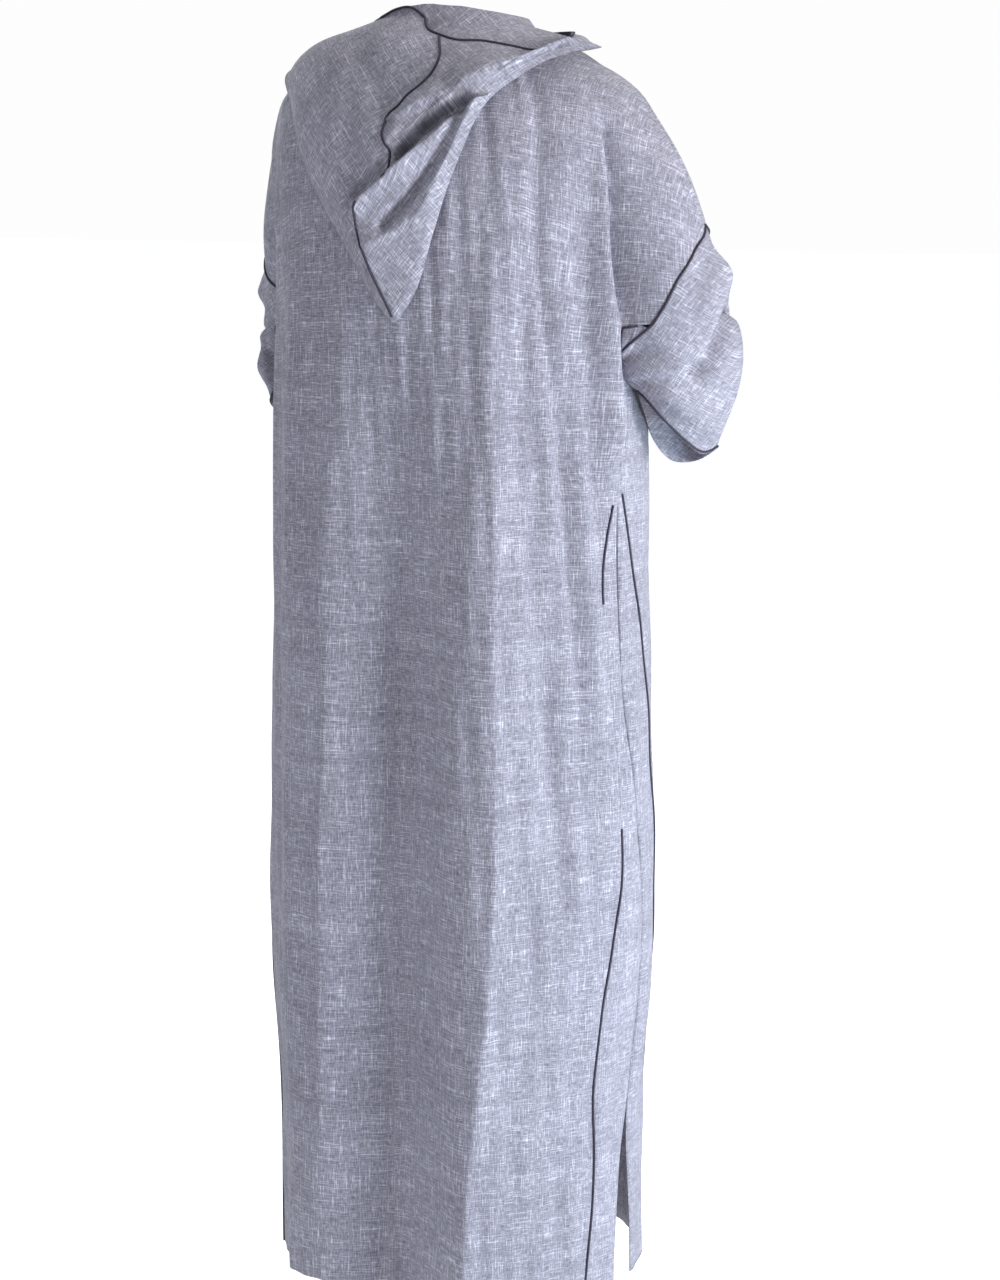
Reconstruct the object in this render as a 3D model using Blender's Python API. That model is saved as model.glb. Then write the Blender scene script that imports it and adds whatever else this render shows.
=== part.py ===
"""A long hooded robe of slubbed cloth with piped seams, hollow as it is worn.

Units are metres. +Z is up, the wearer faces -Y, and the wearer's right is at -X.
The origin is the middle of the neck, level with the neck seam. A place on the robe
is given by its angle round the wearer, 0 at the middle of the back and +90 at the
wearer's right, and by how far it lies below the neck.
"""
import math

import bmesh
import bpy
import numpy as np

# ---------------------------------------------------------------- driving sizes
LENGTH = 1.455          # from the neck seam to the hem
NECK_TOP = -0.006       # the neck seam stands a little above the origin
WALL = 0.0016           # cloth with its turned seams
SEAM_GAP = 0.0004       # between two pieces at a seam
PIPING_WIDTH = 0.0028
PIPING_THICK = 0.0013
PIPING_LIFT = 0.0004    # piping off the cloth along the straight seams
TURNED_LIFT = 0.0012    # and along seams that turn sharply: at the underarm and on the hood
RIM_LIFT = 0.0010       # and a little further round the hood's curved rim
NECK_SLIT_DEPTH = 0.150
NECK_SLIT_HALF = 0.003
HOOD_CLEAR = 0.0045     # the hood's under layer off the robe's back
NECK_CLEAR = 0.0065     # and this much more close to the neck
CUFF_HEM = 0.006        # from the cuff's piping to its edge

CLOTH_COLOUR = (0.330, 0.325, 0.400, 1.0)
PIPING_COLOUR = (0.022, 0.017, 0.040, 1.0)


def table(names, *rows):
    """Named columns from rows of numbers; the first column is the key and rises."""
    return dict(zip(names.split(), np.array(rows, float).T))


def read(columns, name, at):
    """One column at any key, along a smooth line through its rows."""
    key, value = next(iter(columns.values())), columns[name]
    at = np.clip(np.asarray(at, float), key[0], key[-1])
    slope = np.gradient(value, key)
    i = np.clip(np.searchsorted(key, at, side="right") - 1, 0, len(key) - 2)
    gap = key[i + 1] - key[i]
    t = (at - key[i]) / gap
    from_start = (1 + 2 * t) * (1 - t) ** 2 * value[i] + t * (1 - t) ** 2 * gap * slope[i]
    from_end = t * t * (3 - 2 * t) * value[i + 1] + t * t * (t - 1) * gap * slope[i + 1]
    return from_start + from_end


def ease(share):
    share = np.clip(share, 0, 1)
    return share * share * (3 - 2 * share)


# ---------------------------------------------------------------- the worn form
# half width and depth of the body at each height; square is 2 for an ellipse and more for a boxier round
BODY = table(
    "below half_width back front square",
    (-0.006, 0.076, 0.064, 0.058, 2.0),
    (0.004, 0.098, 0.078, 0.066, 2.0),
    (0.016, 0.128, 0.094, 0.078, 2.1),
    (0.034, 0.166, 0.110, 0.092, 2.2),
    (0.060, 0.194, 0.124, 0.106, 2.3),
    (0.100, 0.206, 0.136, 0.120, 2.4),
    (0.160, 0.212, 0.145, 0.132, 2.4),
    (0.240, 0.216, 0.149, 0.140, 2.3),
    (0.330, 0.220, 0.149, 0.144, 2.2),
    (0.450, 0.224, 0.149, 0.146, 2.2),
    (0.650, 0.229, 0.154, 0.150, 2.2),
    (0.900, 0.236, 0.162, 0.156, 2.2),
    (1.080, 0.236, 0.167, 0.160, 2.2),
    (1.220, 0.228, 0.170, 0.164, 2.2),
    (1.455, 0.227, 0.172, 0.168, 2.2),
)
# the upper arms under the cloth: how far out and back each one is, and its half sizes
ARM_RIGHT = table(
    "below out back side depth",
    (0.030, 0.118, 0.000, 0.038, 0.048),
    (0.055, 0.154, 0.002, 0.048, 0.054),
    (0.090, 0.182, 0.004, 0.054, 0.060),
    (0.130, 0.202, 0.002, 0.060, 0.064),
    (0.180, 0.219, -0.002, 0.066, 0.067),
    (0.210, 0.226, -0.005, 0.068, 0.069),
    (0.260, 0.236, -0.008, 0.075, 0.070),
    (0.310, 0.240, -0.009, 0.077, 0.069),
    (0.380, 0.244, -0.008, 0.075, 0.068),
)
ARM_LEFT = table(
    "below out back side depth",
    (0.030, 0.114, -0.004, 0.038, 0.048),
    (0.055, 0.146, -0.012, 0.048, 0.054),
    (0.090, 0.170, -0.024, 0.054, 0.060),
    (0.130, 0.186, -0.036, 0.060, 0.066),
    (0.180, 0.198, -0.050, 0.064, 0.070),
    (0.210, 0.203, -0.058, 0.066, 0.072),
    (0.260, 0.208, -0.072, 0.068, 0.074),
    (0.310, 0.212, -0.084, 0.068, 0.074),
    (0.380, 0.214, -0.096, 0.066, 0.072),
)
ARM_START = 0.046       # above this an arm's bulge rounds off into the shoulder
ARM_DOME = 0.036
ARM_END = 0.300         # below this an arm's bulge rounds off into the side
ARM_ROUND = 0.075
BLEND_TOP = 0.050       # how softly arm and back run together at the shoulder
BLEND_LOW = 0.014       # and at the underarm

# the main folds: angle at the upper and lower end, heights, how far out, half widths towards left and right
FOLDS = table(
    "number top bottom start end out left right",
    (1, 3, -4, 0.34, 1.75, -0.024, 20, 17),
    (2, 21, 25, 0.34, 1.75, 0.015, 8, 24),
    (3, -34, -37, 0.28, 1.75, 0.009, 14, 14),
    (4, 44, 58, 0.10, 1.05, -0.010, 6, 6),
    (5, 61, 64, 0.12, 0.52, -0.012, 6, 6),
    (6, 140, 148, 0.30, 1.75, 0.012, 13, 13),
    (7, 176, 184, 0.34, 1.75, -0.016, 18, 18),
    (8, -142, -138, 0.32, 1.75, 0.013, 14, 14),
    (9, 70.5, 75, 0.08, 0.50, 0.017, 8, 2.4),
)
FOLD_GROWS = 0.30       # share of a fold's length over which it swells
FOLD_FADES = 0.20
NECK_HOLLOW, NECK_FLAT = 0.070, 0.022   # the hollow between neck and shoulder lies above these


def folds(angle, below):
    total = np.zeros(angle.shape)
    for top, bottom, start, end, out, left, right in zip(*list(FOLDS.values())[1:]):
        share = (below - start) / (end - start)
        away = (angle - top - (bottom - top) * np.clip(share, 0, 1) + 180) % 360 - 180
        width = np.where(away < 0, left, right)
        size = out * ease(share / FOLD_GROWS) * ease((1 - share) / FOLD_FADES)
        total += size * np.exp(-((away / width) ** 2))
    return total


def trunk_radius(angle, below):
    across, along = np.abs(np.sin(angle)), np.cos(angle)
    deep = np.where(along > 0, read(BODY, "back", below), read(BODY, "front", below))
    power = read(BODY, "square", below)
    return ((across / read(BODY, "half_width", below)) ** power + (np.abs(along) / deep) ** power) ** (-1 / power)


def past_arm(x, y, below, arm, side):
    """How far a point lies outside one arm's bulge, seen level."""
    shrink = np.sqrt(1 - np.clip((below - ARM_END) / ARM_ROUND, 0, 0.999) ** 2)
    shrink = shrink * np.sqrt(1 - np.clip((ARM_START - below) / ARM_DOME, 0, 0.999) ** 2)
    half_x, half_y = read(arm, "side", below) * shrink, read(arm, "depth", below) * shrink
    across = (x - side * read(arm, "out", below)) / half_x
    along = (y - read(arm, "back", below)) / half_y
    return (np.hypot(across, along) - 1) * np.minimum(half_x, half_y)


def past_cloth(radius, angle, below, trunk):
    soft = BLEND_LOW + (BLEND_TOP - BLEND_LOW) * ease(1 - below / ARM_END)
    far = radius - trunk
    for arm, side in ((ARM_RIGHT, -1), (ARM_LEFT, 1)):
        other = past_arm(-radius * np.sin(angle), radius * np.cos(angle), below, arm, side)
        mix = np.clip(0.5 + 0.5 * (other - far) / soft, 0, 1)
        far = other + (far - other) * mix - soft * mix * (1 - mix)
    return far


def body_radius(degrees, below):
    """From the robe's axis out to the cloth."""
    degrees, below = np.broadcast_arrays(np.asarray(degrees, float), np.asarray(below, float))
    angle = np.radians(degrees)
    radius = np.array(trunk_radius(angle, below))
    near = (below < ARM_END + ARM_ROUND) & (below > 0)
    if near.any():
        a, b, start = angle[near], below[near], radius[near]
        low = start.copy()
        for step in np.linspace(0, 0.16, 33):
            low = np.where(past_cloth(start + step, a, b, start) < 0, start + step, low)
        high = low + 0.005
        for _ in range(10):
            middle = (low + high) / 2
            inner = past_cloth(middle, a, b, start) < 0
            low, high = np.where(inner, middle, low), np.where(inner, high, middle)
        radius[near] = (low + high) / 2
    return radius + folds(degrees, below)


def on_cloth(degrees, below):
    radius = body_radius(degrees, below)
    angle = np.radians(degrees)
    return np.stack([-radius * np.sin(angle), radius * np.cos(angle), -below + 0 * radius], -1)


def off_cloth(degrees, below, height):
    """A point at some height off the cloth, square to it."""
    degrees, below, height = np.broadcast_arrays(*(np.asarray(v, float) for v in (degrees, below, height)))
    step_angle, step_down = 1.5, 0.004
    round_it = on_cloth(degrees + step_angle, below) - on_cloth(degrees - step_angle, below)
    down_it = on_cloth(degrees, below + step_down) - on_cloth(degrees, below - step_down)
    outward = np.cross(down_it, round_it)
    outward /= np.linalg.norm(outward, axis=-1, keepdims=True)
    # in the hollow between neck and shoulder, what lies on the robe stands off it one way, up and out
    angle = np.radians(degrees)
    slant = np.stack([-np.sin(angle), np.cos(angle), np.ones(angle.shape)], -1) / math.sqrt(2)
    neck = ease((NECK_HOLLOW - below) / (NECK_HOLLOW - NECK_FLAT))[..., None]
    outward = outward * (1 - neck) + slant * neck
    return on_cloth(degrees, below) + outward / np.linalg.norm(outward, axis=-1, keepdims=True) * height[..., None]


# ---------------------------------------------------------------- seams, as angle and depth below the neck
ANGLE_STEP = 0.0039     # metres round the body for one degree, to share out a seam's rows evenly

UPPER_SEAMS = {
    "right": {
        "shoulder": ((90, -0.006), (90, 0.020), (90, 0.060), (89, 0.130), (89, 0.208)),
        "armhole_back": ((89, 0.208), (83, 0.234), (80.5, 0.254), (78, 0.290), (77, 0.308)),
        "armhole_front": ((89, 0.208), (96, 0.236), (102, 0.270), (107, 0.308)),
        "gusset_back": ((77, 0.308), (75.6, 0.310), (75.2, 0.328), (77, 0.362), (82, 0.392), (90, 0.405)),
        "gusset_front": ((107, 0.308), (112, 0.312), (116, 0.330), (114, 0.362), (104, 0.392), (90, 0.405)),
        "side": ((90, 0.405), (83, 0.435), (75, 0.465)),
    },
    "left": {
        "shoulder": ((-90, -0.006), (-90, 0.020), (-91, 0.060), (-96, 0.130), (-104, 0.225)),
        "armhole_back": ((-104, 0.225), (-98, 0.252), (-94, 0.274), (-91, 0.290), (-90, 0.300)),
        "armhole_front": ((-104, 0.225), (-113, 0.250), (-121, 0.278), (-127, 0.308)),
        "gusset_back": ((-90, 0.300), (-87, 0.303), (-85, 0.320), (-86, 0.360), (-94, 0.392), (-106, 0.405)),
        "gusset_front": ((-127, 0.308), (-132, 0.312), (-135, 0.330), (-132, 0.362), (-121, 0.392), (-106, 0.405)),
        "side": ((-106, 0.405), (-99, 0.435), (-92, 0.465)),
    },
}
GORE_TOP = 0.465
# the seams of a side gore at each height
GORES = {
    "right": table(
        "below back middle front",
        (0.465, 74.8, 75.2, 75.6),
        (0.500, 74.4, 76.0, 78.3),
        (0.547, 72.0, 76.0, 81.0),
        (0.600, 70.0, 76.0, 83.8),
        (0.692, 72.0, 77.0, 89.0),
        (0.790, 74.5, 80.0, 93.8),
        (0.870, 75.8, 83.5, 97.0),
        (0.930, 76.0, 86.0, 99.0),
        (1.012, 72.8, 88.0, 102.0),
        (1.091, 69.0, 87.5, 105.0),
        (1.184, 66.8, 85.2, 108.0),
        (1.275, 67.6, 81.4, 111.0),
        (1.330, 67.0, 80.0, 112.5),
        (1.397, 65.4, 78.6, 114.5),
        (1.455, 64.0, 77.5, 116.0),
    ),
    "left": table(
        "below back middle front",
        (0.465, -91.8, -92.2, -92.6),
        (0.547, -88.0, -91.5, -95.5),
        (0.692, -84.0, -91.0, -99.0),
        (0.870, -80.0, -90.0, -103.0),
        (1.012, -77.0, -88.5, -106.0),
        (1.150, -73.0, -85.0, -109.0),
        (1.275, -69.5, -80.0, -112.0),
        (1.455, -66.0, -76.0, -117.0),
    ),
}
# where each side's slit starts, and how far round it has opened at the hem
SLITS = {"right": (1.215, 10.5), "left": (1.165, 15.0)}
# the sleeve's seam round the underarm, from the back gusset corner to the front one, clear of the side
UNDERARM = {
    "right": ((-0.234, 0.050, -0.342), (-0.244, -0.004, -0.360), (-0.240, -0.068, -0.344)),
    "left": ((0.243, -0.016, -0.338), (0.236, -0.086, -0.360), (0.204, -0.150, -0.344)),
}
# each sleeve at its elbow and its cuff, at eight places round it: 0 is the shoulder's side, 2 the back corner
# of the gusset, 4 the underarm and 6 the front corner
SLEEVES = {
    "right": table(
        "place elbow_x elbow_y elbow_z cuff_x cuff_y cuff_z",
        (0, -0.327, -0.045, -0.362, -0.322, -0.048, -0.428),
        (1, -0.318, 0.008, -0.375, -0.295, -0.011, -0.455),
        (2, -0.280, 0.044, -0.362, -0.264, 0.020, -0.424),
        (3, -0.242, 0.046, -0.366, -0.238, 0.030, -0.384),
        (4, -0.240, -0.004, -0.378, -0.236, -0.020, -0.394),
        (5, -0.242, -0.066, -0.384, -0.238, -0.080, -0.438),
        (6, -0.262, -0.112, -0.374, -0.252, -0.112, -0.476),
        (7, -0.312, -0.104, -0.352, -0.304, -0.108, -0.454),
    ),
    "left": table(
        "place elbow_x elbow_y elbow_z cuff_x cuff_y cuff_z",
        (0, 0.290, -0.132, -0.350, 0.284, -0.150, -0.424),
        (1, 0.284, -0.076, -0.360, 0.272, -0.104, -0.446),
        (2, 0.270, -0.020, -0.348, 0.270, -0.050, -0.424),
        (3, 0.253, -0.034, -0.360, 0.250, -0.062, -0.384),
        (4, 0.243, -0.090, -0.376, 0.238, -0.106, -0.400),
        (5, 0.216, -0.148, -0.382, 0.216, -0.160, -0.440),
        (6, 0.222, -0.188, -0.374, 0.220, -0.196, -0.474),
        (7, 0.268, -0.184, -0.350, 0.262, -0.200, -0.452),
    ),
}
ELBOW_SHARE = 0.55

# ---------------------------------------------------------------- the hood, lying open on the back
# at each share of the way from the middle of the back to the front of the neck: the rim, the fold at the
# hood's lower edge, the neck seam, how high the cloth stands round the neck, and how far the hood swells
HOOD = {
    "right": table(
        "share rim_angle rim_below rim_height edge_angle edge_below neck_angle band puff",
        (0.00, 12, 0.012, 0.016, -3.5, 0.300, 0, 0.026, 0.016),
        (0.10, 23, 0.018, 0.016, 5, 0.264, 7, 0.025, 0.017),
        (0.20, 36, 0.020, 0.017, 12, 0.204, 16, 0.024, 0.016),
        (0.30, 47, 0.026, 0.018, 20, 0.142, 28, 0.023, 0.012),
        (0.40, 55, 0.031, 0.018, 32, 0.084, 42, 0.020, 0.007),
        (0.50, 62, 0.026, 0.018, 48, 0.058, 58, 0.017, 0.005),
        (0.60, 73, 0.016, 0.017, 68, 0.046, 76, 0.014, 0.004),
        (0.70, 92, 0.010, 0.016, 90, 0.040, 96, 0.012, 0.003),
        (0.80, 117, 0.006, 0.015, 116, 0.034, 120, 0.011, 0.003),
        (0.90, 145, 0.004, 0.014, 144, 0.032, 146, 0.010, 0.002),
        (1.00, 171, 0.010, 0.013, 171, 0.032, 171, 0.010, 0.001),
    ),
    "left": table(
        "share rim_angle rim_below rim_height edge_angle edge_below neck_angle band puff",
        (0.00, 12, 0.012, 0.016, -3.5, 0.300, 0, 0.026, 0.016),
        (0.08, 3, 0.006, 0.017, -12, 0.273, -8, 0.026, 0.019),
        (0.16, -6, -0.008, 0.018, -20, 0.236, -16, 0.025, 0.021),
        (0.25, -17, -0.016, 0.020, -31, 0.188, -28, 0.024, 0.021),
        (0.34, -31, -0.015, 0.020, -41, 0.145, -40, 0.022, 0.018),
        (0.43, -46, -0.010, 0.020, -50, 0.100, -52, 0.020, 0.013),
        (0.52, -60, -0.006, 0.020, -58, 0.068, -64, 0.018, 0.009),
        (0.60, -75, -0.002, 0.019, -74, 0.054, -79, 0.016, 0.006),
        (0.70, -94, 0.000, 0.016, -93, 0.046, -97, 0.013, 0.004),
        (0.80, -117, 0.004, 0.015, -116, 0.036, -120, 0.011, 0.003),
        (0.90, -145, 0.004, 0.014, -144, 0.032, -146, 0.010, 0.002),
        (1.00, -171, 0.010, 0.013, -171, 0.032, -171, 0.010, 0.001),
    ),
}
# the hood's middle seam, from the rim to the tip
MIDDLE_SEAM = table(
    "share angle below",
    (0.00, 12.0, 0.012),
    (0.10, 15.0, 0.040),
    (0.18, 12.0, 0.060),
    (0.26, 2.0, 0.079),
    (0.34, -4.0, 0.096),
    (0.42, -5.0, 0.112),
    (0.50, -2.0, 0.130),
    (0.58, -5.0, 0.150),
    (0.66, -13.0, 0.172),
    (0.75, -16.5, 0.196),
    (0.86, -12.0, 0.242),
    (1.00, -3.5, 0.300),
)
MIDDLE_FADES = 0.34     # the middle seam's wander dies out at this share of the way round
EDGE_HEIGHT = 0.014     # the outer layer off the robe at the hood's lower fold
EDGE_TURN = 0.007       # how far the fold itself stands out past the edge
LAYERS = 0.0065         # the outer layer never comes nearer to the under layer than this
FOOT = 0.010            # the under layer turns up round the neck here
# troughs and ridges in the hood: both ends, then how far out and how wide
HOOD_FOLDS = table(
    "number angle_1 below_1 angle_2 below_2 out width",
    (1, 24, 0.064, 4, 0.112, -0.009, 0.009),
    (2, 17, 0.104, 7, 0.150, -0.007, 0.009),
    (3, 20, 0.084, 4, 0.138, 0.005, 0.009),
    (4, -22, 0.060, -14, 0.190, -0.005, 0.018),
)
HOOD_DEGREE = 0.0026    # metres across the back for one degree

# ---------------------------------------------------------------- how finely each piece is divided
ROWS = {"shoulder": 7, "armhole_back": 5, "gusset_back": 5, "side": 3, "gore": 19}
BACK_COLUMNS = 24
FRONT_COLUMNS = 14
GORE_COLUMNS = 3
GUSSET_COLUMNS = 3
SLEEVE_ROWS = 9
HOOD_COLUMNS = 8, 8     # over the back, and from the shoulder to the front
HOOD_SHOULDER = 0.60    # the share where the shoulder comes
HOOD_OUTER_ROWS = 11
HOOD_UNDER_ROWS = 7
PIPED_BACK = (("pocket_piping", 0.517, 0.621), ("gore_piping_back", 0.934, 1.455))
PIPED_FRONT = (("gore_piping_front", 0.517, 1.455),)
MIDDLE_ANGLE = 50.0     # within this, a panel's columns hang straight
MIDDLE_SHARE = 0.62
UPPER_CURVE = 1.3       # rows lie closer together near the neck
SHOULDER_CURVE = 1.7    # and more so along the shoulder seam


def rows_of(side, name):
    """One seam's rows, at even spacing along it."""
    count = ROWS[name.replace("front", "back")]
    stops = np.array(UPPER_SEAMS[side][name], float)
    steps = np.hypot(np.diff(stops[:, 0]) * ANGLE_STEP, np.diff(stops[:, 1]))
    line = table("run angle below", *np.column_stack([np.concatenate([[0], np.cumsum(steps)]), stops]))
    at = np.linspace(0, 1, count + 1) ** (SHOULDER_CURVE if name == "shoulder" else 1) * steps.sum()
    return np.column_stack([read(line, "angle", at), read(line, "below", at)])


def gore_rows(side, edge):
    """One of a gore's four edges: its seams to the back and the front, and its two edges at the side slit."""
    below = np.linspace(GORE_TOP, LENGTH, ROWS["gore"] + 1)
    angle = read(GORES[side], edge.split("_")[0], below)
    if edge == "middle_front":
        start, opening = SLITS[side]
        angle = angle + math.copysign(opening, angle[-1]) * np.clip((below - start) / (LENGTH - start), 0, 1)
    return np.column_stack([angle, below])


def panel_edge(side, face):
    """A back or front panel's whole edge, from the neck to the hem."""
    names = ("shoulder", "armhole_" + face, "gusset_" + face, "side")
    runs = [rows_of(side, name)[:-1] for name in names]
    return np.concatenate(runs + [gore_rows(side, face)])


def middle_rows():
    """How far down each row crosses the middle of a panel."""
    upper = sum(ROWS[name] for name in ("shoulder", "armhole_back", "gusset_back", "side"))
    share = np.linspace(0, 1, upper + 1)[:-1]
    return np.concatenate([NECK_TOP + (GORE_TOP - NECK_TOP) * share ** UPPER_CURVE, gore_rows("right", "back")[:, 1]])


def smooth_through(keys, points, at):
    """Points between whole lines of points, on a smooth curve through them."""
    keys, points, at = np.asarray(keys, float), np.asarray(points, float), np.asarray(at, float)
    flat = points.reshape(len(keys), -1)
    slope = np.gradient(flat, keys, axis=0)
    i = np.clip(np.searchsorted(keys, at, side="right") - 1, 0, len(keys) - 2)
    gap = (keys[i + 1] - keys[i])[:, None]
    t = (at - keys[i])[:, None] / gap
    value = (1 + 2 * t) * (1 - t) ** 2 * flat[i] + t * (1 - t) ** 2 * gap * slope[i]
    value += t * t * (3 - 2 * t) * flat[i + 1] + t * t * (t - 1) * gap * slope[i + 1]
    return value.reshape((len(at),) + points.shape[1:])


# ---------------------------------------------------------------- the pieces, as grids of points on their outer faces
# rows run down and columns run with the angle, so that down across round points out of the cloth
def back_grid():
    right, left = panel_edge("right", "back"), panel_edge("left", "back")
    share = np.linspace(-1, 1, BACK_COLUMNS + 1)[None, :]
    reach = np.where(share > 0, right[:, :1], -left[:, :1])
    outer = np.clip((np.abs(share) - MIDDLE_SHARE) / (1 - MIDDLE_SHARE), 0, 1)
    middle = np.minimum(np.abs(share) / MIDDLE_SHARE, 1) * MIDDLE_ANGLE
    angle = np.sign(share) * (middle + (reach - MIDDLE_ANGLE) * outer)
    edge = np.where(share > 0, right[:, 1:], left[:, 1:])
    return on_cloth(angle, edge + (middle_rows()[:, None] - edge) * ease(1.3 * (1 - np.abs(share))))


def front_grid():
    """The front from the right edge round to the left, parted down its middle as far as the neck slit goes."""
    share = np.linspace(0, 1, FRONT_COLUMNS // 2 + 1)
    middle = middle_rows()[:, None]
    halves = []
    for side, turn in (("right", 0), ("left", 360)):
        edge = panel_edge(side, "front")
        angle = edge[:, :1] + turn + (180 - edge[:, :1] - turn) * share
        half = on_cloth(angle, edge[:, 1:] + (middle - edge[:, 1:]) * ease(1.3 * share))
        half[middle[:, 0] < NECK_SLIT_DEPTH, -1, 0] += NECK_SLIT_HALF * (1 if turn else -1)
        halves.append(half)
    return np.concatenate([halves[0], halves[1][:, ::-1]], axis=1)


def gore_grid(side, face):
    """One half of a side gore, from its point to the hem."""
    edges = [gore_rows(side, name) for name in (face, "middle_" + face)]
    first, last = sorted(edges, key=lambda edge: edge[-1, 0])
    share = np.linspace(0, 1, GORE_COLUMNS + 1)
    return on_cloth(first[:, :1] + (last[:, :1] - first[:, :1]) * share, first[:, 1:] + 0 * share)


def underarm_line(side):
    """The sleeve's seam round the underarm, gusset corner to gusset corner."""
    corners = [on_cloth(*rows_of(side, name)[-1]) for name in ("armhole_back", "armhole_front")]
    points = np.array([corners[0], *UNDERARM[side], corners[1]])
    return smooth_through(np.linspace(0, 1, len(points)), points, np.linspace(0, 1, 2 * ROWS["gusset_back"] + 1))


def body_line(side):
    """The gusset's seam along the body, back corner down to its point and up to the front corner."""
    back, front = (on_cloth(*rows_of(side, name).T) for name in ("gusset_back", "gusset_front"))
    return np.concatenate([back, front[::-1][1:]])


def gusset_grid(side):
    arm, body = underarm_line(side)[1:-1], body_line(side)[1:-1]
    first, last = (body, arm) if side == "right" else (arm, body)
    share = np.linspace(0, 1, GUSSET_COLUMNS + 1)[None, :, None]
    return first[:, None] * (1 - share) + last[:, None] * share


def armhole_ring(side):
    """The whole armhole, from the shoulder's end down the back, round the underarm and up the front."""
    back = on_cloth(*rows_of(side, "armhole_back").T)
    front = on_cloth(*rows_of(side, "armhole_front").T)
    return np.concatenate([back, underarm_line(side)[1:-1], front[::-1]])


def sleeve_grid(side):
    hole = armhole_ring(side)
    upper, under = ROWS["armhole_back"], 2 * ROWS["gusset_back"]
    place = np.concatenate([np.linspace(0, 2, upper + 1), np.linspace(2, 6, under + 1)[1:-1],
                            np.linspace(6, 8, upper + 1)])
    columns = SLEEVES[side]
    around = np.concatenate([columns["place"] + turn for turn in (-8, 0, 8)])
    rings = [hole]
    for ring in ("elbow", "cuff"):
        knots = np.stack([np.tile(columns[ring + axis], 3) for axis in ("_x", "_y", "_z")], -1)
        rings.append(smooth_through(around, knots, place))
    points = smooth_through((0, ELBOW_SHARE, 1), rings, np.linspace(0, 1, SLEEVE_ROWS))
    up = points[-2] - points[-1]
    length = np.linalg.norm(up, axis=-1, keepdims=True)
    piped = points[-1] + up / length * np.minimum(CUFF_HEM, 0.6 * length)
    points = np.concatenate([points[:-1], [piped], points[-1:]])
    return points if side == "left" else points[:, ::-1]


def hood_folds(angle, below):
    total = np.zeros(np.broadcast(angle, below).shape)
    for angle_1, below_1, angle_2, below_2, out, width in zip(*list(HOOD_FOLDS.values())[1:]):
        x, y = (angle - angle_1) * HOOD_DEGREE, below - below_1
        dx, dy = (angle_2 - angle_1) * HOOD_DEGREE, below_2 - below_1
        share = np.clip((x * dx + y * dy) / (dx * dx + dy * dy), 0, 1)
        total += out * np.exp(-((np.hypot(x - share * dx, y - share * dy) / width) ** 2))
    return total


def hood_clear(below):
    """The under layer's height off the robe."""
    return HOOD_CLEAR + NECK_CLEAR * ease((NECK_HOLLOW - below) / (NECK_HOLLOW / 2))


def hood_grid(side):
    """Half a hood: from its rim down the outer layer, round the lower fold, up under and round the neck."""
    share = np.concatenate([np.linspace(0, HOOD_SHOULDER, HOOD_COLUMNS[0] + 1)[:-1],
                            np.linspace(HOOD_SHOULDER, 1, HOOD_COLUMNS[1] + 1)])
    at = {name: read(HOOD[side], name, share) for name in HOOD[side]}
    fade = 1 - ease(share / MIDDLE_FADES)
    flat = 0 * share
    stations = []
    for q in np.linspace(0, 1, HOOD_OUTER_ROWS + 1):
        place = []
        for name in ("angle", "below"):
            seam = MIDDLE_SEAM[name]
            wander = read(MIDDLE_SEAM, name, q) - seam[0] - (seam[-1] - seam[0]) * q
            place.append(at["rim_" + name] + (at["edge_" + name] - at["rim_" + name]) * q + fade * wander)
        height = at["rim_height"] + (EDGE_HEIGHT - at["rim_height"]) * q + at["puff"] * math.sin(math.pi * q)
        height = height + ease(min(q, 1 - q) * 5) * hood_folds(*place)
        stations.append((*place, np.maximum(height, hood_clear(place[1]) + LAYERS)))
    # the lower fold turns over square to its own line, and straight down at the tip
    line = np.gradient(np.array([at["edge_angle"] * HOOD_DEGREE, at["edge_below"]]), axis=1)
    away = np.array([-line[1], line[0]]) / np.hypot(*line)
    away *= np.sign(away[1])
    away[:, 0] = (0, 1)
    low = at["edge_below"] + EDGE_TURN * away[1]
    stations.append((at["edge_angle"] + EDGE_TURN * away[0] / HOOD_DEGREE, low,
                     hood_clear(low) + (EDGE_HEIGHT - HOOD_CLEAR) / 2))
    for q in np.linspace(0, 1, HOOD_UNDER_ROWS + 1):
        angle = at["edge_angle"] + (at["neck_angle"] - at["edge_angle"]) * q
        below = at["edge_below"] + (FOOT - at["edge_below"]) * q
        stations.append((angle, below, hood_clear(below)))
    for below, height in ((flat - 0.003, 0.010), (-at["band"], 0.010), (-at["band"] - 0.003, 0.006),
                          (-at["band"], 0.002), (flat + NECK_TOP - SEAM_GAP, 0.0)):
        stations.append((at["neck_angle"], below, flat + height))
    points = np.array([off_cloth(*station) for station in stations])
    return points if side == "right" else points[:, ::-1]


# ---------------------------------------------------------------- walls
def face_normals(points):
    """The outward direction at each point of a grid, from its own rows and columns."""
    down, round_it = np.gradient(points, axis=0), np.gradient(points, axis=1)
    normal = np.cross(down, round_it)
    return normal / np.maximum(np.linalg.norm(normal, axis=-1, keepdims=True), 1e-12)


def seam_key(point):
    return tuple(np.round(point * 1e5).astype(int))


def outward_of(grids):
    """Outward directions that pieces share wherever their points meet at a seam."""
    sums = {}
    own = {name: face_normals(points) for name, points in grids.items()}
    for name, points in grids.items():
        for place in np.ndindex(points.shape[:2]):
            key = seam_key(points[place])
            sums[key] = sums.get(key, 0) + own[name][place]
    shared = {}
    for name, points in grids.items():
        total = np.array([[sums[seam_key(point)] for point in row] for row in points])
        shared[name] = total / np.linalg.norm(total, axis=-1, keepdims=True)
    return shared


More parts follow.
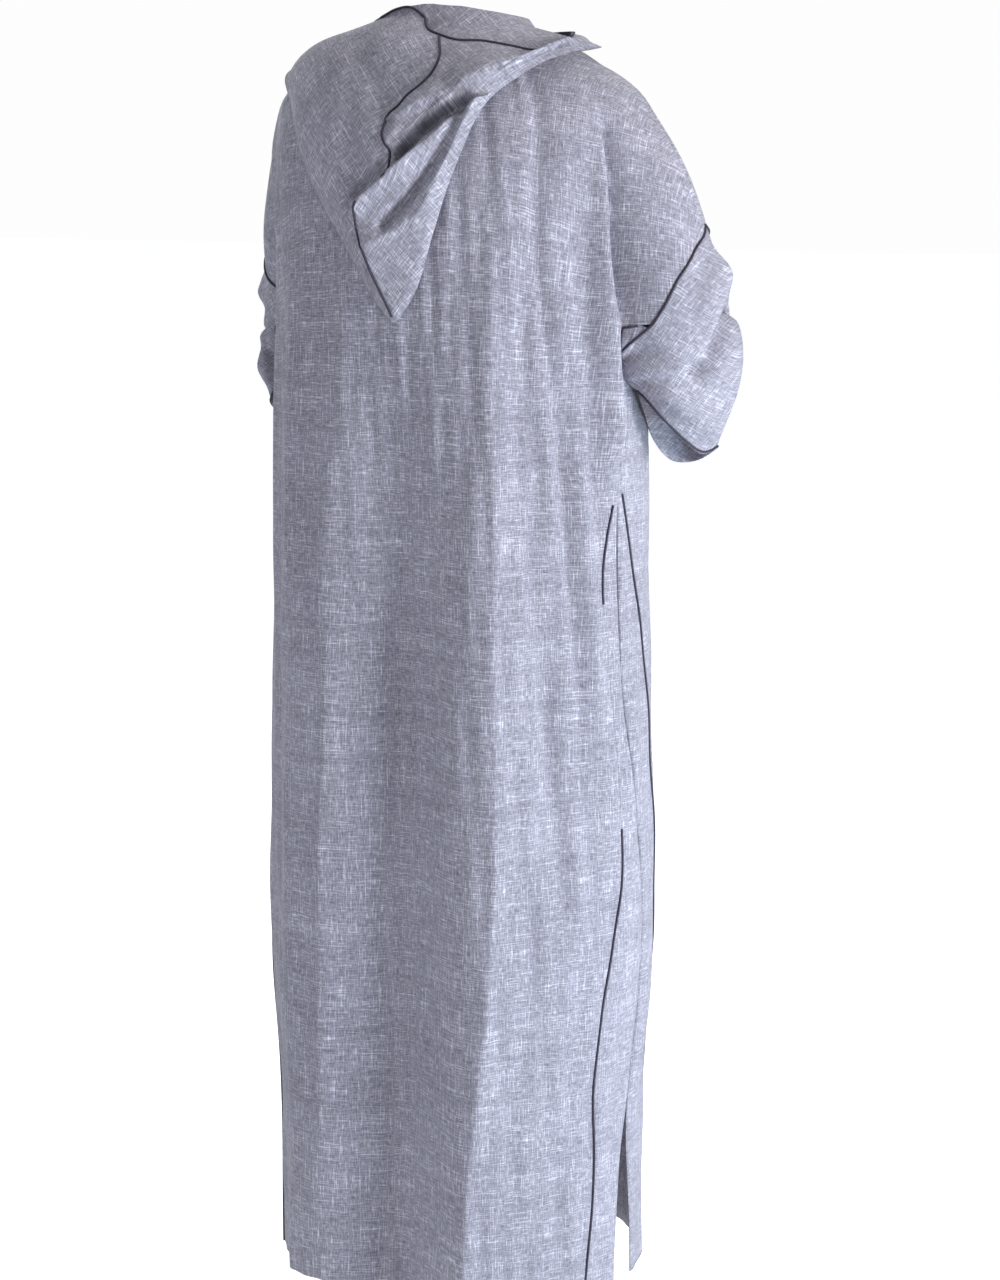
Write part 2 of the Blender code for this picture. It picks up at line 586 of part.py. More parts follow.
def pull(points, edges):
    """How far each point moves so that the named edges draw back from their seams."""
    move = np.zeros(points.shape)
    for edge, here, inner in (("left", np.s_[:, 0], np.s_[:, 1]), ("right", np.s_[:, -1], np.s_[:, -2]),
                              ("top", np.s_[0], np.s_[1])):
        if edge in edges:
            toward = points[inner] - points[here]
            move[here] += toward / np.linalg.norm(toward, axis=-1, keepdims=True) * SEAM_GAP / 2
    return move


def material(name, colour, roughness):
    made = bpy.data.materials.new(name)
    made.use_nodes = True
    shader = made.node_tree.nodes["Principled BSDF"]
    shader.inputs["Base Color"].default_value = colour
    shader.inputs["Roughness"].default_value = roughness
    return made


def wall(name, outer, inner, cloth, collection, parted_after=None):
    """A closed wall between an outer grid and an inner one; a parted column leaves a slit where its points part."""
    rows, columns = outer.shape[:2]
    bm = bmesh.new()
    bmesh.ops.create_grid(bm, x_segments=columns - 1, y_segments=rows - 1, size=0.5)
    place = bm.verts.layers.int.new("place")
    for vertex in bm.verts:
        column = round((vertex.co.x + 0.5) * (columns - 1))
        row = round((0.5 - vertex.co.y) * (rows - 1))
        vertex.co = outer[row, column]
        vertex[place] = row * columns + column
    if parted_after is not None:
        gap = [face for face in bm.faces
               if {vertex[place] % columns for vertex in face.verts} == {parted_after, parted_after + 1}]
        bmesh.ops.delete(bm, geom=gap, context="FACES")
    bmesh.ops.remove_doubles(bm, verts=bm.verts, dist=1e-5)
    rim = [edge for edge in bm.edges if len(edge.link_faces) == 1]
    loops = [(loop.vert, loop.link_loop_next.vert) for edge in rim for loop in edge.link_loops]
    copied = bmesh.ops.duplicate(bm, geom=bm.verts[:] + bm.faces[:])
    twin = copied["vert_map"]
    bmesh.ops.reverse_faces(bm, faces=[item for item in copied["geom"] if isinstance(item, bmesh.types.BMFace)])
    for vertex in (item for item in copied["geom"] if isinstance(item, bmesh.types.BMVert)):
        vertex.co = inner[divmod(vertex[place], columns)]
    for start, end in loops:
        bm.faces.new((end, start, twin[start], twin[end]))
    bmesh.ops.triangulate(bm, faces=bm.faces)
    mesh = bpy.data.meshes.new(name)
    bm.to_mesh(mesh)
    bm.free()
    mesh.shade_smooth()
    mesh.materials.append(cloth)
    piece = bpy.data.objects.new(name, mesh)
    collection.objects.link(piece)
    return piece


def beside(edge, inner, width=PIPING_WIDTH / 2):
    """Points a little way in from an edge, on the cloth between it and the next line."""
    toward = inner - edge
    return edge + toward / np.linalg.norm(toward, axis=-1, keepdims=True) * width


def piping(name, lines, outward, cloth, collection, lift=PIPING_LIFT):
    """A raised strip whose long lines lie on the cloth, moved out from it."""
    points = np.stack(lines, axis=1)
    outward = outward[:, None]
    if (face_normals(points) * outward).sum() < 0:
        points = points[:, ::-1]
    wall(name, points + outward * (lift + PIPING_THICK), points + outward * lift, cloth, collection)


def main():
    for thing in list(bpy.data.objects):
        bpy.data.objects.remove(thing)
    collection = bpy.data.collections.new("hooded_robe")
    bpy.context.scene.collection.children.link(collection)
    cloth = material("slubbed_cloth", CLOTH_COLOUR, 0.85)
    dark = material("piping_cloth", PIPING_COLOUR, 0.6)

    grids = {"back_panel": back_grid(), "front_panel": front_grid()}
    seams = {"back_panel": "left right", "front_panel": "left right"}
    for side in ("right", "left"):
        for face in ("back", "front"):
            grids[f"gore_{face}_{side}"] = gore_grid(side, face)
            seams[f"gore_{face}_{side}"] = "left right"
        grids[f"gusset_{side}"] = gusset_grid(side)
        seams[f"gusset_{side}"] = "left right"
        grids[f"sleeve_{side}"] = sleeve_grid(side)
        seams[f"sleeve_{side}"] = "top"
        grids[f"hood_{side}"] = hood_grid(side)
        seams[f"hood_{side}"] = "left" if side == "right" else "right"
    outward = outward_of(grids)
    for name, points in grids.items():
        outer = points + pull(points, seams[name])
        parted_after = FRONT_COLUMNS // 2 if name == "front_panel" else None
        wall(name, outer, outer - outward[name] * WALL, cloth, collection, parted_after)

    back, front = grids["back_panel"], grids["front_panel"]
    ends = np.cumsum([0] + [ROWS[name] for name in ("shoulder", "armhole_back", "gusset_back", "side", "gore")])
    hole, fold, low = slice(ends[1], ends[2] + 1), slice(ends[2] + 1, ends[3] + 1), slice(ends[4], ends[5] + 1)
    for side, edge, inner in (("right", -1, -2), ("left", 0, 1)):
        gusset, sleeve = grids[f"gusset_{side}"], grids[f"sleeve_{side}"]
        inside = {"back": back[:, inner], "front": front[:, -1 - inner]}

        def over_seam(name, seam, first, last, shared, lift=TURNED_LIFT):
            """Piping over a seam, between the next lines of the pieces on its two sides."""
            piping(f"{name}_{side}", [beside(seam, first), seam, beside(seam, last)], shared, dark, collection, lift)

        # the armhole, from the shoulder down the back, round the underarm and up the front
        turn = 1 if side == "left" else -1
        body_side = np.concatenate([inside["back"][hole], gusset[:, inner], inside["front"][hole][::-1]])
        over_seam("armhole_piping", sleeve[0][::turn], body_side, sleeve[1][::turn],
                  outward[f"sleeve_{side}"][0][::turn])
        # the gusset, along the back and along the front
        body, body_inner = gusset[:, -1 - edge], gusset[:, -1 - inner]
        shared = outward[f"gusset_{side}"][:, -1 - edge]
        half = ROWS["gusset_back"]
        over_seam("gusset_piping_back", body[:half], inside["back"][fold], body_inner[:half], shared[:half])
        over_seam("gusset_piping_front", body[half:], inside["front"][fold][::-1][1:], body_inner[half:], shared[half:])
        # the gore's two seams; at the back the piping shows round the pocket mouth and again below it
        for face, stretches in (("back", PIPED_BACK), ("front", PIPED_FRONT)):
            gore = grids[f"gore_{face}_{side}"]
            at_seam = edge if face == "front" else -1 - edge
            next_line = inner if face == "front" else -1 - inner
            shared = outward[f"gore_{face}_{side}"][:, at_seam]
            for name, first, last in stretches:
                row, end = (round((below - GORE_TOP) / (LENGTH - GORE_TOP) * ROWS["gore"]) for below in (first, last))
                rows = slice(row, end + 1)
                over_seam(name, gore[rows, at_seam], inside[face][low][rows], gore[rows, next_line], shared[rows],
                          PIPING_LIFT)
        # the cuff, a little up from its edge
        piping(f"cuff_piping_{side}", [beside(sleeve[-2], sleeve[-3]), beside(sleeve[-2], sleeve[-1])],
               outward[f"sleeve_{side}"][-2], dark, collection)

    left, right = grids["hood_left"], grids["hood_right"]
    rim = np.concatenate([left[0], right[0][1:]])
    below_rim = np.concatenate([left[1], right[1][1:]])
    shared = np.concatenate([outward["hood_left"][0], outward["hood_right"][0][1:]])
    piping("hood_rim_piping", [beside(rim, below_rim, SEAM_GAP), beside(rim, below_rim, PIPING_WIDTH)],
           shared, dark, collection, RIM_LIFT)
    outer_layer = slice(1, HOOD_OUTER_ROWS + 1)
    seam = right[outer_layer, 0]
    piping("hood_seam_piping", [beside(seam, left[outer_layer, -2]), seam, beside(seam, right[outer_layer, 1])],
           outward["hood_right"][outer_layer, 0], dark, collection, TURNED_LIFT)


main()
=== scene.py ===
"""The hooded robe as it looks: thin cloth with its folds and creases, woven slubs and piped seams.

Units are metres, in the model's own frame. A place on the robe is given by its angle round
the wearer, 0 at the middle of the back and +90 at the wearer's right, and by how far it lies
below the neck.
"""
import math

import bpy
import numpy as np
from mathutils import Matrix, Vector


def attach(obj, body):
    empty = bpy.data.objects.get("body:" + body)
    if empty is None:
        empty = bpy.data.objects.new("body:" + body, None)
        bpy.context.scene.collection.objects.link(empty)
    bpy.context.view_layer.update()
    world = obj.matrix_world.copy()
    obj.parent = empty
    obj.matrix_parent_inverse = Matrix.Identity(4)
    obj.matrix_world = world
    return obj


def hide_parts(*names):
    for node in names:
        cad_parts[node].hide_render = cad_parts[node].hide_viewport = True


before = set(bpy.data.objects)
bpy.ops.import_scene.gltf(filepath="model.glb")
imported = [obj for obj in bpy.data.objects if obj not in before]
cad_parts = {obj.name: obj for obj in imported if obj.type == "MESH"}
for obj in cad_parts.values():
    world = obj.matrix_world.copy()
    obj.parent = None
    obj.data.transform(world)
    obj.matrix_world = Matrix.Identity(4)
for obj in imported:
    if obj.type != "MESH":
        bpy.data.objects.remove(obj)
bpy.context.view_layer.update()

# ---------------------------------------------------------------- sizes
LENGTH = 1.455          # from the neck seam to the hem
NECK_TOP = -0.006       # the neck seam stands a little above the origin
CLOTH = 0.0009          # the cloth's thickness
SEAM_GAP = 0.0004       # between the neck band's inner edge and the neck seam
NECK_SLIT_DEPTH = 0.150
NECK_SLIT_HALF = 0.003
HOOD_CLEAR = 0.0045     # the hood's under layer off the robe's back
NECK_CLEAR = 0.0065     # and this much more close to the neck
CUFF_HEM = 0.006        # from the cuff's piping to its edge
CUFF_SHARE = 0.6        # but no more than this share of the sleeve's last row
PIPING_RADIUS = 0.0014
PIPING_LIFT = 0.0006    # the piping's middle off the cloth


def table(names, *rows):
    """Named columns from rows of numbers; the first column is the key and rises."""
    return dict(zip(names.split(), np.array(rows, float).T))


def each_row(columns):
    """A table's rows again, without their keys."""
    return zip(*list(columns.values())[1:])


def smooth_through(keys, values, at):
    """The smooth curve through a line of values, or through whole lines of points, at any keys."""
    slope = np.gradient(values, keys, axis=0)
    i = np.clip(np.searchsorted(keys, at, side="right") - 1, 0, len(keys) - 2)
    gap = keys[i + 1] - keys[i]
    t = (at - keys[i]) / gap
    gap, t = (part.reshape(part.shape + (1,) * (values.ndim - 1)) for part in (gap, t))
    from_start = (1 + 2 * t) * (1 - t) ** 2 * values[i] + t * (1 - t) ** 2 * gap * slope[i]
    from_end = t * t * (3 - 2 * t) * values[i + 1] + t * t * (t - 1) * gap * slope[i + 1]
    return from_start + from_end


def read(columns, name, at):
    """One column at any key, along a smooth line through its rows."""
    key = next(iter(columns.values()))
    return smooth_through(key, columns[name], np.clip(np.asarray(at, float), key[0], key[-1]))


def ease(share):
    """0 to 1, with a gentle start and end."""
    share = np.clip(share, 0, 1)
    return share * share * (3 - 2 * share)


def unit(vectors):
    """Each direction, at a length of one."""
    return vectors / np.maximum(np.linalg.norm(vectors, axis=-1, keepdims=True), 1e-12)


# ---------------------------------------------------------------- the worn form
# half width and depth of the body at each height; square is 2 for an ellipse and more for a boxier round
BODY = table(
    "below half_width back front square",
    (-0.006, 0.076, 0.064, 0.058, 2.0),
    (0.004, 0.098, 0.078, 0.066, 2.0),
    (0.016, 0.128, 0.094, 0.078, 2.1),
    (0.034, 0.166, 0.110, 0.092, 2.2),
    (0.060, 0.194, 0.124, 0.106, 2.3),
    (0.100, 0.206, 0.136, 0.120, 2.4),
    (0.160, 0.212, 0.145, 0.132, 2.4),
    (0.240, 0.216, 0.149, 0.140, 2.3),
    (0.330, 0.220, 0.149, 0.144, 2.2),
    (0.450, 0.224, 0.149, 0.146, 2.2),
    (0.650, 0.229, 0.154, 0.150, 2.2),
    (0.900, 0.236, 0.162, 0.156, 2.2),
    (1.080, 0.236, 0.167, 0.160, 2.2),
    (1.220, 0.228, 0.170, 0.164, 2.2),
    (1.455, 0.227, 0.172, 0.168, 2.2),
)
# the upper arms under the cloth: how far out and back each one is, and its half sizes
ARM_RIGHT = table(
    "below out back side depth",
    (0.030, 0.118, 0.000, 0.038, 0.048),
    (0.055, 0.154, 0.002, 0.048, 0.054),
    (0.090, 0.182, 0.004, 0.054, 0.060),
    (0.130, 0.202, 0.002, 0.060, 0.064),
    (0.180, 0.219, -0.002, 0.066, 0.067),
    (0.210, 0.226, -0.005, 0.068, 0.069),
    (0.260, 0.236, -0.008, 0.075, 0.070),
    (0.310, 0.240, -0.009, 0.077, 0.069),
    (0.380, 0.244, -0.008, 0.075, 0.068),
)
ARM_LEFT = table(
    "below out back side depth",
    (0.030, 0.114, -0.004, 0.038, 0.048),
    (0.055, 0.146, -0.012, 0.048, 0.054),
    (0.090, 0.170, -0.024, 0.054, 0.060),
    (0.130, 0.186, -0.036, 0.060, 0.066),
    (0.180, 0.198, -0.050, 0.064, 0.070),
    (0.210, 0.203, -0.058, 0.066, 0.072),
    (0.260, 0.208, -0.072, 0.068, 0.074),
    (0.310, 0.212, -0.084, 0.068, 0.074),
    (0.380, 0.214, -0.096, 0.066, 0.072),
)
ARM_START = 0.046       # above this an arm's bulge rounds off into the shoulder
ARM_DOME = 0.036
ARM_END = 0.300         # below this an arm's bulge rounds off into the side
ARM_ROUND = 0.075
BLEND_TOP = 0.050       # how softly arm and back run together at the shoulder
BLEND_LOW = 0.014       # and at the underarm
ARM_REACH = 0.16        # the furthest that cloth over an arm lies outside the body
REACH_STEPS = 32        # it is looked for in this many steps, and the last one is then halved
HALVINGS = 10

# the main folds: angle at the upper and lower end, heights, how far out, half widths in degrees to each side
FOLDS = table(
    "number top bottom start end out left right",
    (1, 3, -4, 0.34, 1.75, -0.024, 20, 17),
    (2, 21, 25, 0.34, 1.75, 0.015, 8, 24),
    (3, -34, -37, 0.28, 1.75, 0.009, 14, 14),
    (4, 44, 58, 0.10, 1.05, -0.010, 6, 6),
    (5, 61, 64, 0.12, 0.52, -0.012, 6, 6),
    (6, 140, 148, 0.30, 1.75, 0.012, 13, 13),
    (7, 176, 184, 0.34, 1.75, -0.016, 18, 18),
    (8, -142, -138, 0.32, 1.75, 0.013, 14, 14),
    (9, 70.5, 75, 0.08, 0.50, 0.017, 8, 2.4),
)
FOLD_GROWS = 0.30       # share of a fold's length over which it swells
FOLD_FADES = 0.20
NECK_HOLLOW, NECK_FLAT = 0.070, 0.022   # the hollow between neck and shoulder lies above these


def folds(angle, below):
    total = np.zeros(angle.shape)
    for top, bottom, start, end, out, left, right in each_row(FOLDS):
        share = (below - start) / (end - start)
        away = (angle - top - (bottom - top) * np.clip(share, 0, 1) + 180) % 360 - 180
        width = np.where(away < 0, left, right)
        size = out * ease(share / FOLD_GROWS) * ease((1 - share) / FOLD_FADES)
        total += size * np.exp(-((away / width) ** 2))
    return total


def trunk_radius(angle, below):
    """From the axis out to the body without its arms."""
    across, along = np.abs(np.sin(angle)), np.cos(angle)
    wide = read(BODY, "half_width", below)
    deep = np.where(along > 0, read(BODY, "back", below), read(BODY, "front", below))
    power = read(BODY, "square", below)
    return ((across / wide) ** power + (np.abs(along) / deep) ** power) ** (-1 / power)


def past_arm(x, y, below, arm, side):
    """How far a point lies outside one arm's bulge, seen level."""
    shrink = np.sqrt(1 - np.clip((below - ARM_END) / ARM_ROUND, 0, 0.999) ** 2)
    shrink = shrink * np.sqrt(1 - np.clip((ARM_START - below) / ARM_DOME, 0, 0.999) ** 2)
    half_x, half_y = read(arm, "side", below) * shrink, read(arm, "depth", below) * shrink
    across = (x - side * read(arm, "out", below)) / half_x
    along = (y - read(arm, "back", below)) / half_y
    return (np.hypot(across, along) - 1) * np.minimum(half_x, half_y)


def past_cloth(radius, angle, below, trunk):
    """How far a point lies outside the body and both arms, run softly together."""
    soft = BLEND_LOW + (BLEND_TOP - BLEND_LOW) * ease(1 - below / ARM_END)
    far = radius - trunk
    for arm, side in ((ARM_RIGHT, -1), (ARM_LEFT, 1)):
        other = past_arm(-radius * np.sin(angle), radius * np.cos(angle), below, arm, side)
        mix = np.clip(0.5 + 0.5 * (other - far) / soft, 0, 1)
        far = other + (far - other) * mix - soft * mix * (1 - mix)
    return far


def body_radius(degrees, below):
    """From the robe's axis out to the cloth."""
    degrees, below = np.broadcast_arrays(np.asarray(degrees, float), np.asarray(below, float))
    angle = np.radians(degrees)
    radius = np.array(trunk_radius(angle, below))
    near = (below < ARM_END + ARM_ROUND) & (below > 0)
    if near.any():
        a, b, start = angle[near], below[near], radius[near]
        low = start.copy()
        for step in np.linspace(0, ARM_REACH, REACH_STEPS + 1):
            low = np.where(past_cloth(start + step, a, b, start) < 0, start + step, low)
        high = low + ARM_REACH / REACH_STEPS
        for _ in range(HALVINGS):
            middle = (low + high) / 2
            inner = past_cloth(middle, a, b, start) < 0
            low, high = np.where(inner, middle, low), np.where(inner, high, middle)
        radius[near] = (low + high) / 2
    return radius + folds(degrees, below)


# ---------------------------------------------------------------- the cloth's own folds and creases
# each one runs down the robe: how sharp it is, then where it is at each height, how far out, and its half
# widths in degrees
CREASES = {
    "ridge right of the middle": (1.2, table(
        "below angle out left right",
        (0.22, 34, 0, 9, 6), (0.36, 34.5, 0.008, 12, 7), (0.52, 34.5, 0.013, 13, 7.5),
        (0.90, 33.5, 0.016, 13, 8), (1.07, 31, 0.016, 13, 9), (1.16, 28.5, 0.016, 13, 9),
        (1.24, 26, 0.016, 13, 10), (1.39, 23, 0.017, 13, 11), (1.47, 22, 0.017, 13, 11))),
    "valley in the middle": (1.7, table(
        "below angle out left right",
        (0.28, -10, 0, 10, 14), (0.45, -12, -0.010, 12, 18), (0.85, -15, -0.015, 13, 20),
        (1.47, -16.5, -0.019, 13, 20))),
    "ridge at the left": (1.3, table(
        "below angle out left right",
        (0.22, -50, 0, 7, 9), (0.34, -51, 0.009, 8, 12), (0.86, -49, 0.013, 8, 14),
        (1.47, -46, 0.016, 8, 15))),
    "edge near the left side": (1.3, table(
        "below angle out left right",
        (0.55, -31, 0, 2, 3), (0.70, -33, 0.003, 2.4, 4), (1.05, -34, 0.004, 2.4, 4),
        (1.47, -33, 0.003, 3, 4))),
    "narrow trough by the arm": (1.5, table(
        "below angle out left right",
        (0.022, 52, 0, 3, 3), (0.06, 52.5, -0.004, 3.4, 3.6), (0.22, 51.5, -0.008, 3.6, 4),
        (0.41, 58.0, -0.008, 3.6, 4), (0.61, 61, -0.008, 3.6, 4), (0.73, 63, -0.007, 3.6, 4),
        (0.90, 65, -0.005, 4, 4), (1.00, 69, 0, 4, 4))),
    "second trough by the arm": (1.5, table(
        "below angle out left right",
        (0.08, 65, 0, 2.2, 2.4), (0.15, 66, -0.005, 2.2, 2.4), (0.31, 67, -0.007, 2.4, 2.6),
        (0.50, 69, -0.006, 2.6, 3), (0.62, 71, 0, 2.6, 3))),
    "ridge between the troughs": (1.6, table(
        "below angle out left right",
        (0.08, 59, 0, 3, 3), (0.20, 59, 0.004, 3.4, 3.2), (0.40, 63.5, 0.005, 3.4, 3),
        (0.62, 66.5, 0.004, 3.4, 3), (0.78, 69, 0, 3.4, 3))),
    "fold edge by the arm": (1.5, table(
        "below angle out left right",
        (0.085, 68.5, 0, 2.6, 1.2), (0.14, 68.7, 0.005, 3.0, 1.2), (0.22, 69.2, 0.006, 3.2, 1.2),
        (0.28, 70.4, 0.004, 3.0, 1.3), (0.36, 72.5, 0, 2.6, 1.4))),
    "crease beyond the fold edge": (1.5, table(
        "below angle out left right",
        (0.075, 71.0, 0, 1.2, 1.4), (0.110, 71.4, -0.016, 1.2, 1.5), (0.20, 71.9, -0.024, 1.2, 1.6),
        (0.25, 73.0, -0.022, 1.2, 1.6), (0.285, 74.3, -0.012, 1.2, 1.6), (0.310, 75.6, 0, 1.2, 1.6))),
    "left of the neck": (2.0, table(
        "below angle out left right",
        (0.14, -62, 0, 6, 6), (0.26, -66, -0.004, 6, 6), (0.60, -64, -0.005, 6, 6),
        (1.10, -62, 0, 6, 6))),
}
# small unevenness all over: how far out, waves to a turn and to two metres down, and where each starts
WAVES = table(
    "number out around down start",
    (1, 0.0007, 17, 3.1, 0.4),
    (2, 0.0006, 29, -4.3, 1.9),
    (3, 0.0005, 41, 5.9, 3.3),
    (4, 0.0005, 11, 9.7, 5.1),
    (5, 0.0004, 53, -8.3, 0.9),
)


def creases(degrees, below):
    """How far the creases and waves stand out from the worn form."""
    total = np.zeros(degrees.shape)
    for sharp, line in CREASES.values():
        away = (degrees - read(line, "angle", below) + 180) % 360 - 180
        width = np.where(away < 0, read(line, "left", below), read(line, "right", below))
        total += read(line, "out", below) * np.exp(-((np.abs(away) / width) ** sharp))
    for out, around, down, start in each_row(WAVES):
        total += out * np.sin(np.radians(degrees) * around + 2 * math.pi * down * below / 2 + start)
    return total


def on_cloth(degrees, below, creased=True):
    """A point of the cloth, with or without its small creases."""
    degrees, below = np.broadcast_arrays(np.asarray(degrees, float), np.asarray(below, float))
    radius = body_radius(degrees, below)
    if creased:
        radius = radius + creases(degrees, below)
    angle = np.radians(degrees)
    return np.stack([-radius * np.sin(angle), radius * np.cos(angle), -below], -1)


def off_cloth(degrees, below, height):
    """A point at some height off the cloth, square to it."""
    degrees, below, height = np.broadcast_arrays(*(np.asarray(v, float) for v in (degrees, below, height)))
    turn, step = 1.5, 0.004     # degrees round and metres down to the neighbours that give the slope
    round_it = on_cloth(degrees + turn, below, False) - on_cloth(degrees - turn, below, False)
    down_it = on_cloth(degrees, below + step, False) - on_cloth(degrees, below - step, False)
    outward = unit(np.cross(down_it, round_it))
    # in the hollow between neck and shoulder, what lies on the robe stands off it one way, up and out
    angle = np.radians(degrees)
    slant = np.stack([-np.sin(angle), np.cos(angle), np.ones(angle.shape)], -1) / math.sqrt(2)
    neck = ease((NECK_HOLLOW - below) / (NECK_HOLLOW - NECK_FLAT))[..., None]
    outward = unit(outward * (1 - neck) + slant * neck)
    return on_cloth(degrees, below, False) + outward * height[..., None]


# ---------------------------------------------------------------- seams, as angle and depth below the neck
ANGLE_STEP = 0.0039     # metres round the body for one degree, to share out a seam's rows evenly

UPPER_SEAMS = {
    "right": {
        "shoulder": ((90, -0.006), (90, 0.020), (90, 0.060), (89, 0.130), (92, 0.203)),
        "armhole_back": ((92, 0.203), (84, 0.232), (80.5, 0.254), (78, 0.290), (77, 0.308)),
        "armhole_front": ((92, 0.203), (101, 0.224), (102, 0.270), (107, 0.308)),
        "gusset_back": ((77, 0.308), (75.6, 0.310), (75.2, 0.326), (76.4, 0.348), (80, 0.366), (88, 0.374)),
        "gusset_front": ((107, 0.308), (112, 0.312), (116, 0.330), (114, 0.350), (104, 0.368), (88, 0.374)),
        "side": ((88, 0.374), (82, 0.420), (75, 0.465)),
    },
    "left": {
        "shoulder": ((-90, -0.006), (-90, 0.020), (-91, 0.060), (-96, 0.130), (-104, 0.225)),
        "armhole_back": ((-104, 0.225), (-98, 0.252), (-94, 0.274), (-91, 0.290), (-90, 0.300)),
        "armhole_front": ((-104, 0.225), (-113, 0.250), (-121, 0.278), (-127, 0.308)),
        "gusset_back": ((-90, 0.300), (-87, 0.303), (-85, 0.320), (-86, 0.360), (-94, 0.392), (-106, 0.405)),
        "gusset_front": ((-127, 0.308), (-132, 0.312), (-135, 0.330), (-132, 0.362), (-121, 0.392),
                         (-106, 0.405)),
        "side": ((-106, 0.405), (-99, 0.435), (-92, 0.465)),
    },
}
GORE_TOP = 0.465        # a side gore's point
# the seams of a side gore at each height
GORES = {
    "right": table(
        "below back middle front",
        (0.465, 74.8, 75.2, 75.6),
        (0.500, 74.4, 76.0, 78.3),
        (0.547, 72.0, 76.0, 81.0),
        (0.600, 70.0, 76.0, 83.8),
        (0.692, 72.0, 77.0, 89.0),
        (0.790, 74.5, 80.0, 93.8),
        (0.870, 75.8, 83.5, 97.0),
        (0.930, 76.0, 86.0, 99.0),
        (1.012, 72.8, 88.0, 102.0),
        (1.091, 69.0, 87.5, 105.0),
        (1.184, 66.8, 85.2, 108.0),
        (1.275, 67.6, 81.4, 111.0),
        (1.330, 67.0, 80.0, 112.5),
        (1.397, 65.4, 78.6, 114.5),
        (1.455, 64.0, 77.5, 116.0),
    ),
    "left": table(
        "below back middle front",
        (0.465, -91.8, -92.2, -92.6),
        (0.547, -88.0, -91.5, -95.5),
        (0.692, -84.0, -91.0, -99.0),
        (0.870, -80.0, -90.0, -103.0),
        (1.012, -77.0, -88.5, -106.0),
        (1.150, -73.0, -85.0, -109.0),
        (1.275, -69.5, -80.0, -112.0),
        (1.455, -66.0, -76.0, -117.0),
    ),
}
# where each side's slit starts, and how far round it has opened at the hem
SLITS = {"right": (1.215, 10.5), "left": (1.165, 15.0)}
# the sleeve's seam round the underarm, from the back gusset corner to the front one, clear of the side
UNDERARM = {
    "right": ((-0.209, 0.046, -0.348), (-0.228, -0.002, -0.356), (-0.240, -0.068, -0.344)),
    "left": ((0.243, -0.016, -0.338), (0.236, -0.086, -0.360), (0.204, -0.150, -0.344)),
}
# each sleeve at its elbow and its cuff, at eight places round it: 0 is the shoulder's side, 2 the back corner
# of the gusset, 4 the underarm and 6 the front corner
SLEEVES = {
    "right": table(
        "place elbow_x elbow_y elbow_z cuff_x cuff_y cuff_z",
        (0, -0.325, -0.045, -0.362, -0.298, -0.046, -0.454),
        (1, -0.316, 0.008, -0.375, -0.289, -0.008, -0.455),
        (2, -0.276, 0.046, -0.366, -0.260, 0.022, -0.420),
        (3, -0.219, 0.040, -0.372, -0.230, 0.032, -0.384),
        (4, -0.240, -0.004, -0.378, -0.2276, 0.0010, -0.414),
        (5, -0.242, -0.066, -0.384, -0.2240, -0.0510, -0.453),
        (6, -0.262, -0.112, -0.374, -0.2350, -0.0830, -0.476),
        (7, -0.305, -0.104, -0.352, -0.2640, -0.0847, -0.474),
    ),
    "left": table(
        "place elbow_x elbow_y elbow_z cuff_x cuff_y cuff_z",
        (0, 0.290, -0.132, -0.350, 0.284, -0.150, -0.424),
        (1, 0.284, -0.076, -0.360, 0.272, -0.104, -0.446),
        (2, 0.270, -0.020, -0.348, 0.270, -0.050, -0.424),
        (3, 0.253, -0.034, -0.360, 0.250, -0.062, -0.384),
        (4, 0.243, -0.090, -0.376, 0.238, -0.106, -0.400),
        (5, 0.216, -0.148, -0.382, 0.216, -0.160, -0.440),
        (6, 0.222, -0.188, -0.374, 0.220, -0.196, -0.474),
        (7, 0.268, -0.184, -0.350, 0.262, -0.200, -0.452),
    ),
}
ELBOW_SHARE = 0.55      # of the sleeve's length from the armhole

